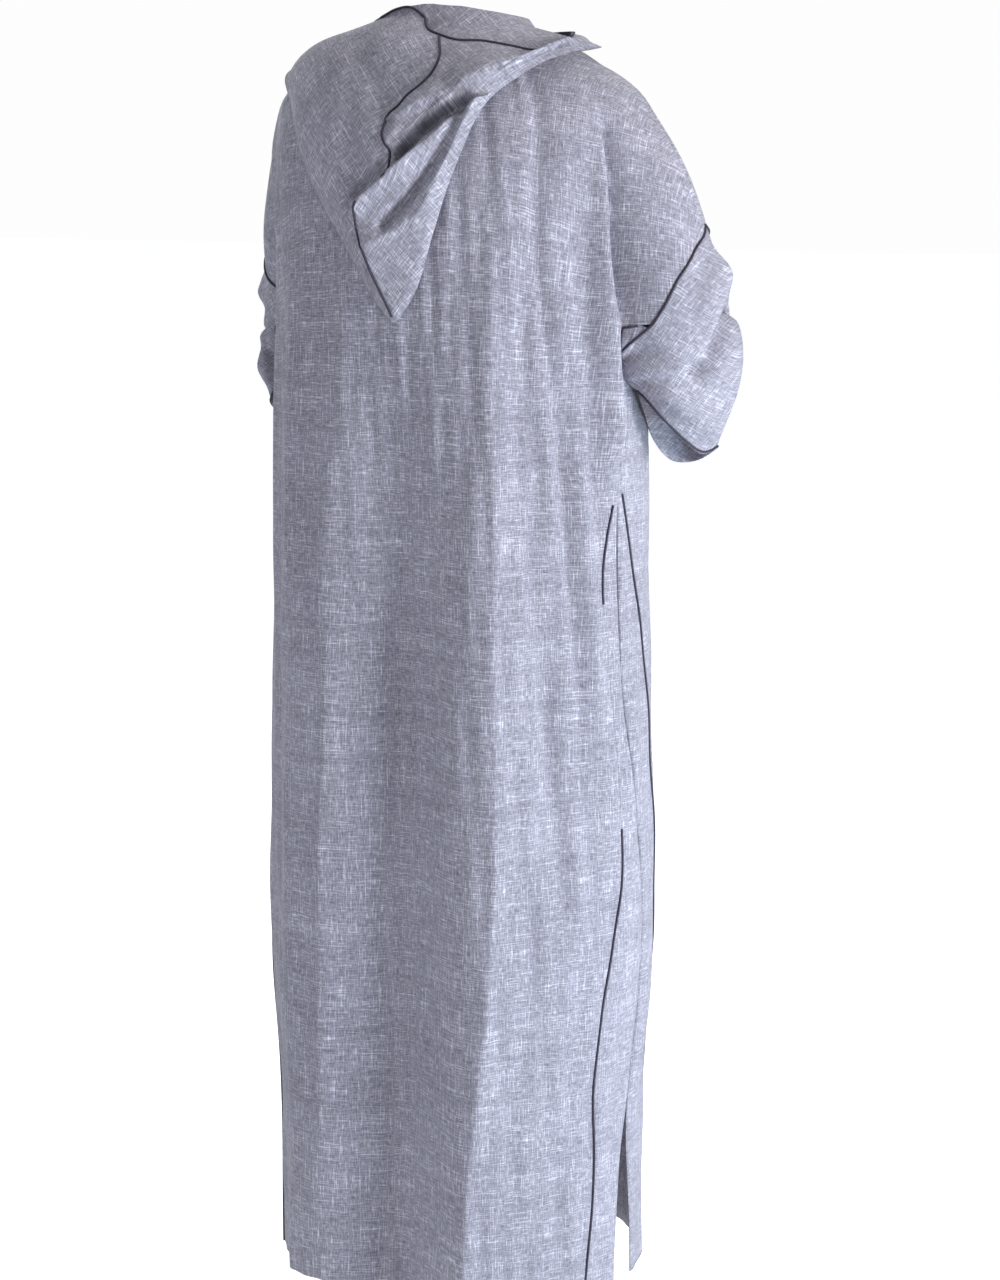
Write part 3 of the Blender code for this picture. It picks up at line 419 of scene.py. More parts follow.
# ---------------------------------------------------------------- the hood, lying open on the back
# at each share of the way from the middle of the back to the front of the neck: the rim, the fold at the
# hood's lower edge, the neck seam, how high the cloth stands round the neck, and how far the hood swells
HOOD = {
    "right": table(
        "share rim_angle rim_below rim_height edge_angle edge_below neck_angle band puff",
        (0.00, 12, 0.012, 0.016, -3.5, 0.300, 0, 0.026, 0.016),
        (0.10, 23, 0.018, 0.016, 5, 0.264, 7, 0.025, 0.017),
        (0.20, 36, 0.020, 0.017, 12, 0.204, 16, 0.024, 0.016),
        (0.30, 47, 0.026, 0.018, 20, 0.142, 28, 0.023, 0.012),
        (0.40, 55, 0.031, 0.018, 32, 0.076, 42, 0.020, 0.007),
        (0.50, 62, 0.028, 0.018, 48, 0.045, 58, 0.017, 0.005),
        (0.60, 73, 0.018, 0.017, 66, 0.026, 76, 0.014, 0.004),
        (0.70, 92, 0.008, 0.016, 90, 0.016, 96, 0.012, 0.002),
        (0.80, 117, 0.006, 0.015, 116, 0.017, 120, 0.011, 0.002),
        (0.90, 145, 0.004, 0.014, 144, 0.026, 146, 0.010, 0.002),
        (1.00, 171, 0.010, 0.013, 171, 0.032, 171, 0.010, 0.001),
    ),
    "left": table(
        "share rim_angle rim_below rim_height edge_angle edge_below neck_angle band puff",
        (0.00, 12, 0.012, 0.016, -3.5, 0.300, 0, 0.026, 0.016),
        (0.08, 3, 0.006, 0.017, -12, 0.273, -8, 0.026, 0.019),
        (0.16, -6, -0.008, 0.018, -20, 0.236, -16, 0.025, 0.021),
        (0.25, -17, -0.016, 0.020, -31, 0.188, -28, 0.024, 0.021),
        (0.34, -31, -0.015, 0.020, -41, 0.145, -40, 0.022, 0.018),
        (0.43, -46, -0.010, 0.020, -50, 0.100, -52, 0.020, 0.013),
        (0.52, -60, -0.006, 0.020, -58, 0.068, -64, 0.018, 0.009),
        (0.60, -75, -0.002, 0.018, -73, 0.044, -79, 0.016, 0.005),
        (0.70, -94, 0.000, 0.015, -92, 0.032, -97, 0.013, 0.003),
        (0.80, -117, 0.003, 0.014, -116, 0.028, -120, 0.011, 0.002),
        (0.90, -145, 0.004, 0.014, -144, 0.032, -146, 0.010, 0.002),
        (1.00, -171, 0.010, 0.013, -171, 0.032, -171, 0.010, 0.001),
    ),
}
# the hood's middle seam, from the rim to the tip
MIDDLE_SEAM = table(
    "share angle below",
    (0.00, 12.0, 0.012),
    (0.10, 15.0, 0.040),
    (0.18, 12.0, 0.060),
    (0.26, 2.0, 0.079),
    (0.34, -4.0, 0.096),
    (0.42, -5.0, 0.112),
    (0.50, -2.0, 0.130),
    (0.58, -5.0, 0.150),
    (0.66, -13.0, 0.172),
    (0.75, -16.5, 0.196),
    (0.86, -12.0, 0.242),
    (1.00, -3.5, 0.300),
)
MIDDLE_FADES = 0.34     # the middle seam's wander dies out at this share of the way round
EDGE_HEIGHT = 0.014     # the outer layer off the robe at the hood's lower fold
EDGE_TURN = 0.007       # how far the fold itself stands out past the edge
LAYERS = 0.003          # the outer layer never comes nearer to the under layer than this
FOOT = 0.010            # the under layer turns up round the neck here
# the band of cloth round the neck: its outer face, top and inner face off the robe, and how round its top is
BAND_OUTER, BAND_TOP, BAND_INNER = 0.010, 0.006, 0.002
BAND_ROUND = 0.003
# troughs and ridges in the hood: both ends, then how far out and how wide
HOOD_FOLDS = table(
    "number angle_1 below_1 angle_2 below_2 out width",
    (1, 24, 0.064, 4, 0.112, -0.009, 0.009),
    (2, 17, 0.104, 7, 0.150, -0.007, 0.009),
    (3, 20, 0.084, 4, 0.138, 0.005, 0.009),
    (4, -22, 0.060, -14, 0.190, -0.005, 0.018),
)
HOOD_DEGREE = 0.0026    # metres across the back for one degree

# ---------------------------------------------------------------- how finely each piece is divided
ROWS = {"shoulder": 28, "armhole_back": 20, "gusset_back": 20, "side": 10, "gore": 90}
BACK_COLUMNS = 232
FRONT_COLUMNS = 96
GORE_COLUMNS = 14
GUSSET_COLUMNS = 12
SLEEVE_ROWS = 44
HOOD_COLUMNS = 100, 44  # over the back, and from the shoulder to the front
HOOD_SHOULDER = 0.60    # the share where the shoulder comes
HOOD_OUTER_ROWS = 124
HOOD_UNDER_ROWS = 26
MIDDLE_ANGLE = 50.0     # within this, a panel's columns hang straight
MIDDLE_SHARE = 0.62     # and they take this share of the columns
UPPER_CURVE = 1.3       # rows lie closer together near the neck
SHOULDER_CURVE = 1.7    # and more so along the shoulder seam
LEVELLING = 1.3         # how soon a panel's rows become level on the way in from its edge
HOOD_FADE = 5           # the hood's creases fade out over a fifth of the way at the rim and the lower fold
SLEEVE_FADE = 8         # and a sleeve's over an eighth of its length at each end


def rows_of(side, name):
    """One seam's rows, at even spacing along it."""
    count = ROWS[name.replace("front", "back")]
    stops = np.array(UPPER_SEAMS[side][name], float)
    steps = np.hypot(np.diff(stops[:, 0]) * ANGLE_STEP, np.diff(stops[:, 1]))
    line = table("run angle below", *np.column_stack([np.concatenate([[0], np.cumsum(steps)]), stops]))
    at = np.linspace(0, 1, count + 1) ** (SHOULDER_CURVE if name == "shoulder" else 1) * steps.sum()
    return np.column_stack([read(line, "angle", at), read(line, "below", at)])


def gore_rows(side, edge):
    """One of a gore's four edges: its seams to the back and the front, and its two edges at the side slit."""
    below = np.linspace(GORE_TOP, LENGTH, ROWS["gore"] + 1)
    angle = read(GORES[side], edge.split("_")[0], below)
    if edge == "middle_front":
        start, opening = SLITS[side]
        angle = angle + math.copysign(opening, angle[-1]) * np.clip((below - start) / (LENGTH - start), 0, 1)
    return np.column_stack([angle, below])


def panel_edge(side, face):
    """A back or front panel's whole edge, from the neck to the hem."""
    names = ("shoulder", "armhole_" + face, "gusset_" + face, "side")
    runs = [rows_of(side, name)[:-1] for name in names]
    return np.concatenate(runs + [gore_rows(side, face)])


def middle_rows():
    """How far down each row crosses the middle of a panel."""
    upper = sum(ROWS[name] for name in ("shoulder", "armhole_back", "gusset_back", "side"))
    share = np.linspace(0, 1, upper + 1)[:-1]
    above = NECK_TOP + (GORE_TOP - NECK_TOP) * share ** UPPER_CURVE
    return np.concatenate([above, gore_rows("right", "back")[:, 1]])


# ---------------------------------------------------------------- the pieces, as grids on their outer faces
# rows run down and columns run with the angle, so that down across round points out of the cloth
def back_grid():
    """The back from its left edge to its right one."""
    right, left = panel_edge("right", "back"), panel_edge("left", "back")
    share = np.linspace(-1, 1, BACK_COLUMNS + 1)[None, :]
    reach = np.where(share > 0, right[:, :1], -left[:, :1])
    outer = np.clip((np.abs(share) - MIDDLE_SHARE) / (1 - MIDDLE_SHARE), 0, 1)
    middle = np.minimum(np.abs(share) / MIDDLE_SHARE, 1) * MIDDLE_ANGLE
    angle = np.sign(share) * (middle + (reach - MIDDLE_ANGLE) * outer)
    edge = np.where(share > 0, right[:, 1:], left[:, 1:])
    level = ease(LEVELLING * (1 - np.abs(share)))
    return on_cloth(angle, edge + (middle_rows()[:, None] - edge) * level)


def front_grid():
    """The front from its right edge round to its left one, parted in its middle along the neck slit."""
    share = np.linspace(0, 1, FRONT_COLUMNS // 2 + 1)
    middle = middle_rows()[:, None]
    halves = []
    for side, turn in (("right", 0), ("left", 360)):
        edge = panel_edge(side, "front")
        angle = edge[:, :1] + turn + (180 - edge[:, :1] - turn) * share
        half = on_cloth(angle, edge[:, 1:] + (middle - edge[:, 1:]) * ease(LEVELLING * share))
        half[middle[:, 0] < NECK_SLIT_DEPTH, -1, 0] += NECK_SLIT_HALF * (1 if turn else -1)
        halves.append(half)
    return np.concatenate([halves[0], halves[1][:, ::-1]], axis=1)


def gore_grid(side, face):
    """One half of a side gore, from its point to the hem."""
    edges = [gore_rows(side, name) for name in (face, "middle_" + face)]
    first, last = sorted(edges, key=lambda edge: edge[-1, 0])
    share = np.linspace(0, 1, GORE_COLUMNS + 1)
    return on_cloth(first[:, :1] + (last[:, :1] - first[:, :1]) * share, first[:, 1:] + 0 * share)


def underarm_line(side):
    """The sleeve's seam round the underarm, gusset corner to gusset corner."""
    corners = [on_cloth(*rows_of(side, name)[-1]) for name in ("armhole_back", "armhole_front")]
    points = np.array([corners[0], *UNDERARM[side], corners[1]])
    at = np.linspace(0, 1, 2 * ROWS["gusset_back"] + 1)
    return smooth_through(np.linspace(0, 1, len(points)), points, at)


def body_line(side):
    """The gusset's seam along the body, back corner down to its point and up to the front corner."""
    back, front = (on_cloth(*rows_of(side, name).T) for name in ("gusset_back", "gusset_front"))
    return np.concatenate([back, front[::-1][1:]])


def gusset_grid(side):
    """The underarm gusset, between the sleeve's seam and the body's."""
    arm, body = underarm_line(side)[1:-1], body_line(side)[1:-1]
    first, last = (body, arm) if side == "right" else (arm, body)
    share = np.linspace(0, 1, GUSSET_COLUMNS + 1)[None, :, None]
    return first[:, None] * (1 - share) + last[:, None] * share


def armhole_ring(side):
    """The whole armhole: from the shoulder down the back, round the underarm and up the front."""
    back = on_cloth(*rows_of(side, "armhole_back").T)
    front = on_cloth(*rows_of(side, "armhole_front").T)
    return np.concatenate([back, underarm_line(side)[1:-1], front[::-1]])


def sleeve_grid(side):
    """A sleeve from its armhole over the elbow to the cuff."""
    hole = armhole_ring(side)
    upper, under = ROWS["armhole_back"], 2 * ROWS["gusset_back"]
    place = np.concatenate([np.linspace(0, 2, upper + 1), np.linspace(2, 6, under + 1)[1:-1],
                            np.linspace(6, 8, upper + 1)])
    columns = SLEEVES[side]
    around = np.concatenate([columns["place"] + turn for turn in (-8, 0, 8)])
    rings = [hole]
    for ring in ("elbow", "cuff"):
        knots = np.stack([np.tile(columns[ring + axis], 3) for axis in ("_x", "_y", "_z")], -1)
        rings.append(smooth_through(around, knots, place))
    points = smooth_through(np.array([0, ELBOW_SHARE, 1]), np.array(rings), np.linspace(0, 1, SLEEVE_ROWS))
    up = points[-2] - points[-1]
    length = np.linalg.norm(up, axis=-1, keepdims=True)
    piped = points[-1] + up / length * np.minimum(CUFF_HEM, CUFF_SHARE * length)
    points = np.concatenate([points[:-1], [piped], points[-1:]])
    # the creases lie on both sides of the line that the sleeve's grid is closed along
    down = np.linspace(0, 1, len(points))[:, None]
    wrapped = (place + 4) % 8 - 4
    out = crease_lines(wrapped[None, :] * SLEEVE_PLACE, down * SLEEVE_RUN, SLEEVE_CREASES,
                       (SLEEVE_PLACE, SLEEVE_RUN)) * ease(np.minimum(down, 1 - down) * SLEEVE_FADE)
    outward = face_normals(points) * (1 if side == "left" else -1)
    outward[:, [0, -1]] = (outward[:, [0]] + outward[:, [-1]]) / 2
    points = points + out[..., None] * outward
    return points if side == "left" else points[:, ::-1]


def hood_folds(angle, below):
    """How far the hood's troughs and ridges stand out."""
    total = np.zeros(np.broadcast(angle, below).shape)
    for angle_1, below_1, angle_2, below_2, out, width in each_row(HOOD_FOLDS):
        x, y = (angle - angle_1) * HOOD_DEGREE, below - below_1
        dx, dy = (angle_2 - angle_1) * HOOD_DEGREE, below_2 - below_1
        share = np.clip((x * dx + y * dy) / (dx * dx + dy * dy), 0, 1)
        total += out * np.exp(-((np.hypot(x - share * dx, y - share * dy) / width) ** 2))
    return total


# creases in the hood and the sleeves, each along a line of places from its left end: how far out, and its
# half width above and below the line
HOOD_CREASES = {
    "deep crease under the upper flap": (-0.025, 0.004, 0.007, (
        (2, 0.130), (10, 0.107), (17, 0.093), (24, 0.083), (29, 0.077))),
    "swell of the upper flap": (0.008, 0.024, 0.006, (
        (3, 0.112), (12, 0.092), (24, 0.074), (36, 0.060))),
    "rolled edge of the upper flap": (0.007, 0.014, 0.005, (
        (0, 0.094), (8, 0.084), (18, 0.074), (30, 0.062), (42, 0.054), (52, 0.044))),
    "end of the upper flap": (0.005, 0.010, 0.005, (
        (-5, 0.118), (1, 0.125), (8, 0.112))),
    "ridge of the lower flap": (0.011, 0.004, 0.010, (
        (-16, 0.181), (-8, 0.161), (8, 0.131), (22, 0.103), (32, 0.083))),
    "crease beside the ridge": (-0.013, 0.005, 0.006, (
        (-6, 0.200), (4, 0.174), (12, 0.150), (20, 0.118), (28, 0.090))),
    "rolled lower edge": (0.006, 0.005, 0.006, (
        (8, 0.202), (12, 0.184), (18, 0.156), (26, 0.112), (33, 0.080))),
    "valley where the flap folds over": (-0.010, 0.010, 0.003, (
        (-17, 0.172), (-12, 0.163), (-4, 0.150))),
    "slack at the left": (-0.005, 0.010, 0.012, (
        (-28, 0.028), (-18, 0.060), (-8, 0.074), (0, 0.084))),
    "soft ridge at the left": (0.004, 0.012, 0.012, (
        (-20, 0.060), (-12, 0.100), (-9, 0.136))),
    "gather under the rim": (0.004, 0.005, 0.006, (
        (17, 0.052), (21, 0.026))),
    "lump at the shoulder": (0.006, 0.009, 0.010, (
        (58, 0.030), (70, 0.020))),
    "raised side of the lower flap": (0.008, 0.026, 0.005, (
        (-18, 0.188), (-15, 0.206), (-11, 0.245), (-6, 0.285))),
    "fold across the lower flap": (0.003, 0.006, 0.004, (
        (-12, 0.224), (0, 0.208), (14, 0.180))),
}
# the same for a sleeve, as places round it and shares of its length from the armhole
SLEEVE_CREASES = {
    "pinch at the elbow": (-0.018, 0.006, 0.009, ((-1.2, 0.28), (0.0, 0.29), (0.9, 0.36), (1.5, 0.47))),
    "swell above the elbow": (0.012, 0.013, 0.011, ((-1.0, 0.17), (0.0, 0.17), (0.8, 0.20))),
    "slack from the underarm": (-0.005, 0.012, 0.010, ((2.6, 0.10), (2.0, 0.34), (1.3, 0.52), (0.8, 0.62))),
    "roll over the cuff": (0.006, 0.012, 0.014, ((0.6, 0.84), (1.2, 0.78), (2.2, 0.72))),
    "hollow above the cuff": (-0.003, 0.012, 0.012, ((1.5, 0.56), (2.6, 0.60))),
}
SLEEVE_PLACE, SLEEVE_RUN = 0.050, 0.170     # metres for a place round the sleeve, and for its length


def crease_lines(across, down, lines, scale):
    """How far out the cloth stands at each place, given in metres across and down."""
    total = np.zeros(np.broadcast(across, down).shape)
    for out, above, under, places in lines.values():
        line = np.array(places, float) * scale
        nearest, side = np.full(total.shape, 9.0), np.zeros(total.shape)
        for start, end in zip(line[:-1], line[1:]):
            run = end - start
            share = np.clip(((across - start[0]) * run[0] + (down - start[1]) * run[1]) / (run @ run), 0, 1)
            away_x, away_y = across - start[0] - share * run[0], down - start[1] - share * run[1]
            gap = np.hypot(away_x, away_y)
            side = np.where(gap < nearest, run[0] * away_y - run[1] * away_x, side)
            nearest = np.minimum(gap, nearest)
        total += out * np.exp(-((nearest / np.where(side > 0, under, above)) ** 2))
    return total


def hood_clear(below):
    """The under layer's height off the robe."""
    return HOOD_CLEAR + NECK_CLEAR * ease((NECK_HOLLOW - below) / (NECK_HOLLOW / 2))


def hood_grid(side):
    """Half a hood: from its rim down the outer layer, round the lower fold, up under and round the neck."""
    share = np.concatenate([np.linspace(0, HOOD_SHOULDER, HOOD_COLUMNS[0] + 1)[:-1],
                            np.linspace(HOOD_SHOULDER, 1, HOOD_COLUMNS[1] + 1)])
    at = {name: read(HOOD[side], name, share) for name in HOOD[side]}
    fade = 1 - ease(share / MIDDLE_FADES)
    flat = 0 * share
    stations = []
    for q in np.linspace(0, 1, HOOD_OUTER_ROWS + 1):
        place = []
        for name in ("angle", "below"):
            seam = MIDDLE_SEAM[name]
            wander = read(MIDDLE_SEAM, name, q) - seam[0] - (seam[-1] - seam[0]) * q
            place.append(at["rim_" + name] + (at["edge_" + name] - at["rim_" + name]) * q + fade * wander)
        height = at["rim_height"] + (EDGE_HEIGHT - at["rim_height"]) * q + at["puff"] * math.sin(math.pi * q)
        inner = ease(min(q, 1 - q) * HOOD_FADE)
        creased = crease_lines(place[0] * HOOD_DEGREE, place[1], HOOD_CREASES, (HOOD_DEGREE, 1))
        height = height + inner * (hood_folds(*place) + creased)
        stations.append((*place, np.maximum(height, hood_clear(place[1]) + LAYERS)))
    # the lower fold turns over square to its own line, and straight down at the tip
    line = np.gradient(np.array([at["edge_angle"] * HOOD_DEGREE, at["edge_below"]]), axis=1)
    away = np.array([-line[1], line[0]]) / np.hypot(*line)
    away *= np.sign(away[1])
    away[:, 0] = (0, 1)
    low = at["edge_below"] + EDGE_TURN * away[1]
    stations.append((at["edge_angle"] + EDGE_TURN * away[0] / HOOD_DEGREE, low,
                     hood_clear(low) + (EDGE_HEIGHT - HOOD_CLEAR) / 2))
    for q in np.linspace(0, 1, HOOD_UNDER_ROWS + 1):
        angle = at["edge_angle"] + (at["neck_angle"] - at["edge_angle"]) * q
        below = at["edge_below"] + (FOOT - at["edge_below"]) * q
        stations.append((angle, below, hood_clear(below)))
    top = -at["band"]
    for below, height in ((flat - BAND_ROUND, BAND_OUTER), (top, BAND_OUTER), (top - BAND_ROUND, BAND_TOP),
                          (top, BAND_INNER), (flat + NECK_TOP - SEAM_GAP, 0.0)):
        stations.append((at["neck_angle"], below, flat + height))
    points = off_cloth(*np.swapaxes(stations, 0, 1))
    return points if side == "right" else points[:, ::-1]


# ---------------------------------------------------------------- piping, seams, and how each piece's weave lies
# the piped stretches of a gore's seams: the cord, its node, and where it starts and ends below the neck
PIPED = {
    "back": (("pocket_cord", "pocket_piping", 0.510, 0.621),
             ("gore_cord_back", "gore_piping_back", 0.880, LENGTH)),
    "front": (("gore_cord_front", "gore_piping_front", 0.498, LENGTH),),
}
# where the cord of the hood's middle seam can be seen, as shares of the way from the rim to the tip
HOOD_SEAM_SHOWS = (("hood_seam_cord_upper", 0.012, 0.60), ("hood_seam_cord_lower", 0.685, 1.0))
PIPING_SIDES = 8
SEAM_SINK = 0.0025      # how deep the plain seam down a side gore is drawn in
GUSSET_LIFT = 0.0022    # a gusset's cord lies this much off its seam, clear of the folds beside it
MERGE = 2e5             # points within one part in this of a metre are one point
# how far the grain of a piece is turned, in degrees
GRAIN = {"hood_right": 40, "hood_left": -38, "sleeve_right": 34, "sleeve_left": -34}
# how the flat cloth lies along the model's axes, so that the weave keeps one size all over
SLEEVE_ACROSS = 0.98, 0.17      # shares of x and of y
SLEEVE_ALONG = 1.05
HOOD_ALONG = 0.89
SLOPE = 0.45                    # what y adds to the way down, on the hood and the shoulders
HANGS_FROM, HANGS_OVER = 0.16, 0.26     # the panels come to hang round the body from here, over this height
HANGING_HALF = 0.228, 0.158     # half width and depth of the robe where it hangs

# ---------------------------------------------------------------- colours and threads
# the noises that make up the cloth: how finely each is drawn out across and along, its detail, where it
# starts, how much it lightens the cloth, and whether it shows only in slubs
CLOTH_THREADS = {
    "warp slubs": (760, 26, 2.0, 3.0, 0.21, True),
    "weft slubs": (28, 760, 2.0, 11.0, 0.21, True),
    "fine warp": (1100, 120, 1.0, 23.0, 0.46, False),
    "fine weft": (120, 1100, 1.0, 31.0, 0.46, False),
    "patches": (9, 5, 2.0, 41.0, 0.12, False),
    "bands": (2.0, 55, 2.0, 47.0, 0.14, False),
}
SLUB_SHOWS = 0.50, 0.78
PIPING_THREADS = 900, 900, 2.0, 5.0
THREAD_ROUGH = 0.6      # how much the finer parts of each noise count
# from the darkest threads to the palest
CLOTH_SHADES = (
    (0.42, (0.146, 0.140, 0.172, 1)),
    (0.70, (0.315, 0.308, 0.370, 1)),
    (1.0, (0.68, 0.67, 0.76, 1)),
)
PIPING_SHADES = ((0.3, (0.010, 0.007, 0.018, 1)), (0.8, (0.045, 0.034, 0.070, 1)))
CLOTH_RELIEF = 0.35, 0.0006     # strength, and the height of a thread
PIPING_RELIEF = 0.4, 0.0004
CLOTH_SURFACE = {"Roughness": 0.86, "Sheen Weight": 0.12, "Sheen Roughness": 0.5, "Specular IOR Level": 0.25}
PIPING_ROUGH = 0.6

# ---------------------------------------------------------------- the studio
FLOOR = -1.56
FLOOR_HALF = 30
FLOOR_COLOUR = 0.93, 0.93, 0.93, 1
FLOOR_ROUGH = 0.9
FLOOR_GLOW = 0.66, 0.10   # how much paler the floor is seen, and the soft light that it throws back up
GLOW_COLOUR = 0.96, 0.97, 1.0, 1
SKY = 0.31                # how strong the light from all round is
SKY_COLOUR = 0.93, 0.95, 1.0, 1
WALL_COLOUR = 0.985, 0.985, 0.985, 1
VIEW_TURN, VIEW_TILT = 22.0, 11.934     # the camera's way round from straight behind, and down
CAMERA_PLACE = 2.70, 0.048, -0.12       # towards the camera's side, to its right, and up
LENS, SENSOR = 65.53, 36.0              # in millimetres
# name, towards the camera, to its right, up, aim, size, power, colour
LAMPS = (
    ("key", 1.75, 2.70, -0.1, (0, 0, -0.85), 1.2, 101, (1.0, 0.99, 0.975)),
    ("fill", 2.8, -0.9, 0.2, (0, 0, -0.7), 2.4, 9, (0.98, 0.97, 1.0)),
    ("overhead", -0.6, 0.0, 2.4, (0, 0, -1.5), 3.0, 36, (1.0, 1.0, 1.0)),
    ("low_cool", 1.3, 1.7, -1.30, (0, 0, -1.35), 1.0, 24, (0.50, 0.76, 1.0)),
    ("low_left", 1.0, -2.2, -1.25, (0.15, 0, -1.40), 0.9, 9, (0.74, 0.87, 1.0)),
    ("front", -3.0, -0.6, 0.3, (0, 0, -0.7), 2.4, 45, (1.0, 1.0, 1.0)),
)


# ---------------------------------------------------------------- cloth and piping as meshes
def face_normals(points):
    """The outward direction at each point of a grid, from its own rows and columns."""
    return unit(np.cross(np.gradient(points, axis=0), np.gradient(points, axis=1)))


def round_form(degrees):
    """How far round the hanging cloth an angle lies, in metres from the middle of the back."""
    angle = np.radians(np.arange(361))
    radius = 1 / np.hypot(np.sin(angle) / HANGING_HALF[0], np.cos(angle) / HANGING_HALF[1])
    edge = radius[:, None] * np.stack([np.sin(angle), np.cos(angle)], -1)
    run = np.concatenate([[0], np.cumsum(np.linalg.norm(np.diff(edge, axis=0), axis=1))])
    return np.sign(degrees) * np.interp(np.abs(degrees), np.arange(361), run)


def weave_places(points, name):
    """Where each point lies in the flat cloth, in metres."""
    x, y, z = points[..., 0], points[..., 1], points[..., 2]
    turn = math.radians(GRAIN.get(name, 0))
    if name.startswith("sleeve"):
        across, along = -SLEEVE_ACROSS[0] * x - SLEEVE_ACROSS[1] * y, -SLEEVE_ALONG * z
    elif name.startswith("hood"):
        across, along = -x, SLOPE * np.abs(y) - HOOD_ALONG * z
    else:
        face_front = "front" in name
        angle = np.degrees(np.arctan2(-x, y))
        angle = angle % 360 if face_front else angle
        hangs = ease((-z - HANGS_FROM) / HANGS_OVER)
        flat_across = round_form(180.0) + x if face_front else -x
        across = flat_across + (round_form(angle) - flat_across) * hangs
        along = -z + SLOPE * np.abs(y) * (1 - hangs)
    return np.stack([across * math.cos(turn) + along * math.sin(turn),
                     along * math.cos(turn) - across * math.sin(turn)], -1)


def robe_piece(name, mesh, finish):
    """A mesh as a smooth piece of the robe."""
    mesh.shade_smooth()
    mesh.materials.append(finish)
    piece = bpy.data.objects.new(name, mesh)
    robe.objects.link(piece)
    return piece


def cloth_piece(name, points, node, finish, parted_after=None):
    """A thin sheet of cloth on a grid of points, standing for its CAD node.

    One column of its squares can be left out, so that two halves part along it wherever they don't touch.
    """
    place = weave_places(points, node).reshape(-1, 2)
    rounded = np.round(points.reshape(-1, 3) * MERGE).astype(np.int64)
    first, index = np.unique(rounded, axis=0, return_index=True, return_inverse=True)[1:]
    index = index.ravel()
    spots = np.arange(len(index)).reshape(points.shape[:2])
    quads = np.stack([spots[:-1, :-1], spots[1:, :-1], spots[1:, 1:], spots[:-1, 1:]], -1)
    if parted_after is not None:
        quads = np.delete(quads, parted_after, axis=1)
    # a square whose corners run together is a triangle, or nothing
    faces, corners = [], []
    for quad in quads.reshape(-1, 4):
        loop, spots_used = [], []
        for spot in quad:
            if index[spot] not in loop:
                loop.append(int(index[spot]))
                spots_used.append(spot)
        if len(loop) > 2:
            faces.append(loop)
            corners += spots_used
    mesh = bpy.data.meshes.new(name)
    mesh.from_pydata(points.reshape(-1, 3)[first].tolist(), [], faces)
    weave = mesh.uv_layers.new(name="Weave")
    weave.data.foreach_set("uv", place[corners].astype(np.float32).ravel())
    mesh.validate()
    piece = robe_piece(name, mesh, finish)
    solid = piece.modifiers.new("thickness", "SOLIDIFY")
    solid.thickness = CLOTH
    solid.offset = -1.0     # inwards, so that the grid is the outer face
    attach(piece, "root")
    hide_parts(node)


def piping_piece(name, line, outward, node, finish, lift=PIPING_LIFT):
    """A round cord of piping along a seam, its ends closed, standing for its CAD node."""
    line = line + outward * lift
    along = unit(np.gradient(line, axis=0))
    side = unit(np.cross(along, outward))
    up = np.cross(side, along)
    vertices, faces = [], []
    for spot, one, two in zip(line, side, up):
        for turn in range(PIPING_SIDES):
            angle = 2 * math.pi * turn / PIPING_SIDES
            vertices.append(tuple(spot + PIPING_RADIUS * (math.cos(angle) * one + math.sin(angle) * two)))
    for row in range(len(line) - 1):
        for turn in range(PIPING_SIDES):
            after = (turn + 1) % PIPING_SIDES
            here, there = row * PIPING_SIDES, (row + 1) * PIPING_SIDES
            faces.append((here + turn, here + after, there + after, there + turn))
    faces.append(tuple(reversed(range(PIPING_SIDES))))
    faces.append(tuple((len(line) - 1) * PIPING_SIDES + turn for turn in range(PIPING_SIDES)))
    mesh = bpy.data.meshes.new(name)
    mesh.from_pydata(vertices, [], faces)
    piece = robe_piece(name, mesh, finish)
    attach(piece, "root")
    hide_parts(node)


# ---------------------------------------------------------------- materials
def multiply_add(tree, value, by, plus):
    """A value times a number, plus a number or another value."""
    made = tree.nodes.new("ShaderNodeMath")
    made.operation = "MULTIPLY_ADD"
    tree.links.new(value, made.inputs[0])
    made.inputs[1].default_value = by
    if isinstance(plus, float):
        made.inputs[2].default_value = plus
    else:
        tree.links.new(plus, made.inputs[2])
    return made.outputs[0]


def threads_group():
    """Streaks in cloth, fine across one thread and long along it, as a noise from 0 to 1."""
    group = bpy.data.node_groups.new("threads", "ShaderNodeTree")
    for name, kind in (("Place", "NodeSocketVector"), ("Stretch", "NodeSocketVector"),
                       ("Start", "NodeSocketVector"), ("Detail", "NodeSocketFloat")):
        group.interface.new_socket(name, in_out="INPUT", socket_type=kind)
    group.interface.new_socket("Thread", in_out="OUTPUT", socket_type="NodeSocketFloat")
    given, result = group.nodes.new("NodeGroupInput"), group.nodes.new("NodeGroupOutput")
    stretched = group.nodes.new("ShaderNodeMapping")
    group.links.new(given.outputs["Place"], stretched.inputs["Vector"])
    group.links.new(given.outputs["Stretch"], stretched.inputs["Scale"])
    group.links.new(given.outputs["Start"], stretched.inputs["Location"])
    noise = group.nodes.new("ShaderNodeTexNoise")
    noise.noise_dimensions = "2D"
    noise.inputs["Scale"].default_value = 1.0
    noise.inputs["Roughness"].default_value = THREAD_ROUGH
    group.links.new(stretched.outputs["Vector"], noise.inputs["Vector"])
    group.links.new(given.outputs["Detail"], noise.inputs["Detail"])
    group.links.new(noise.outputs["Fac"], result.inputs["Thread"])
    return group


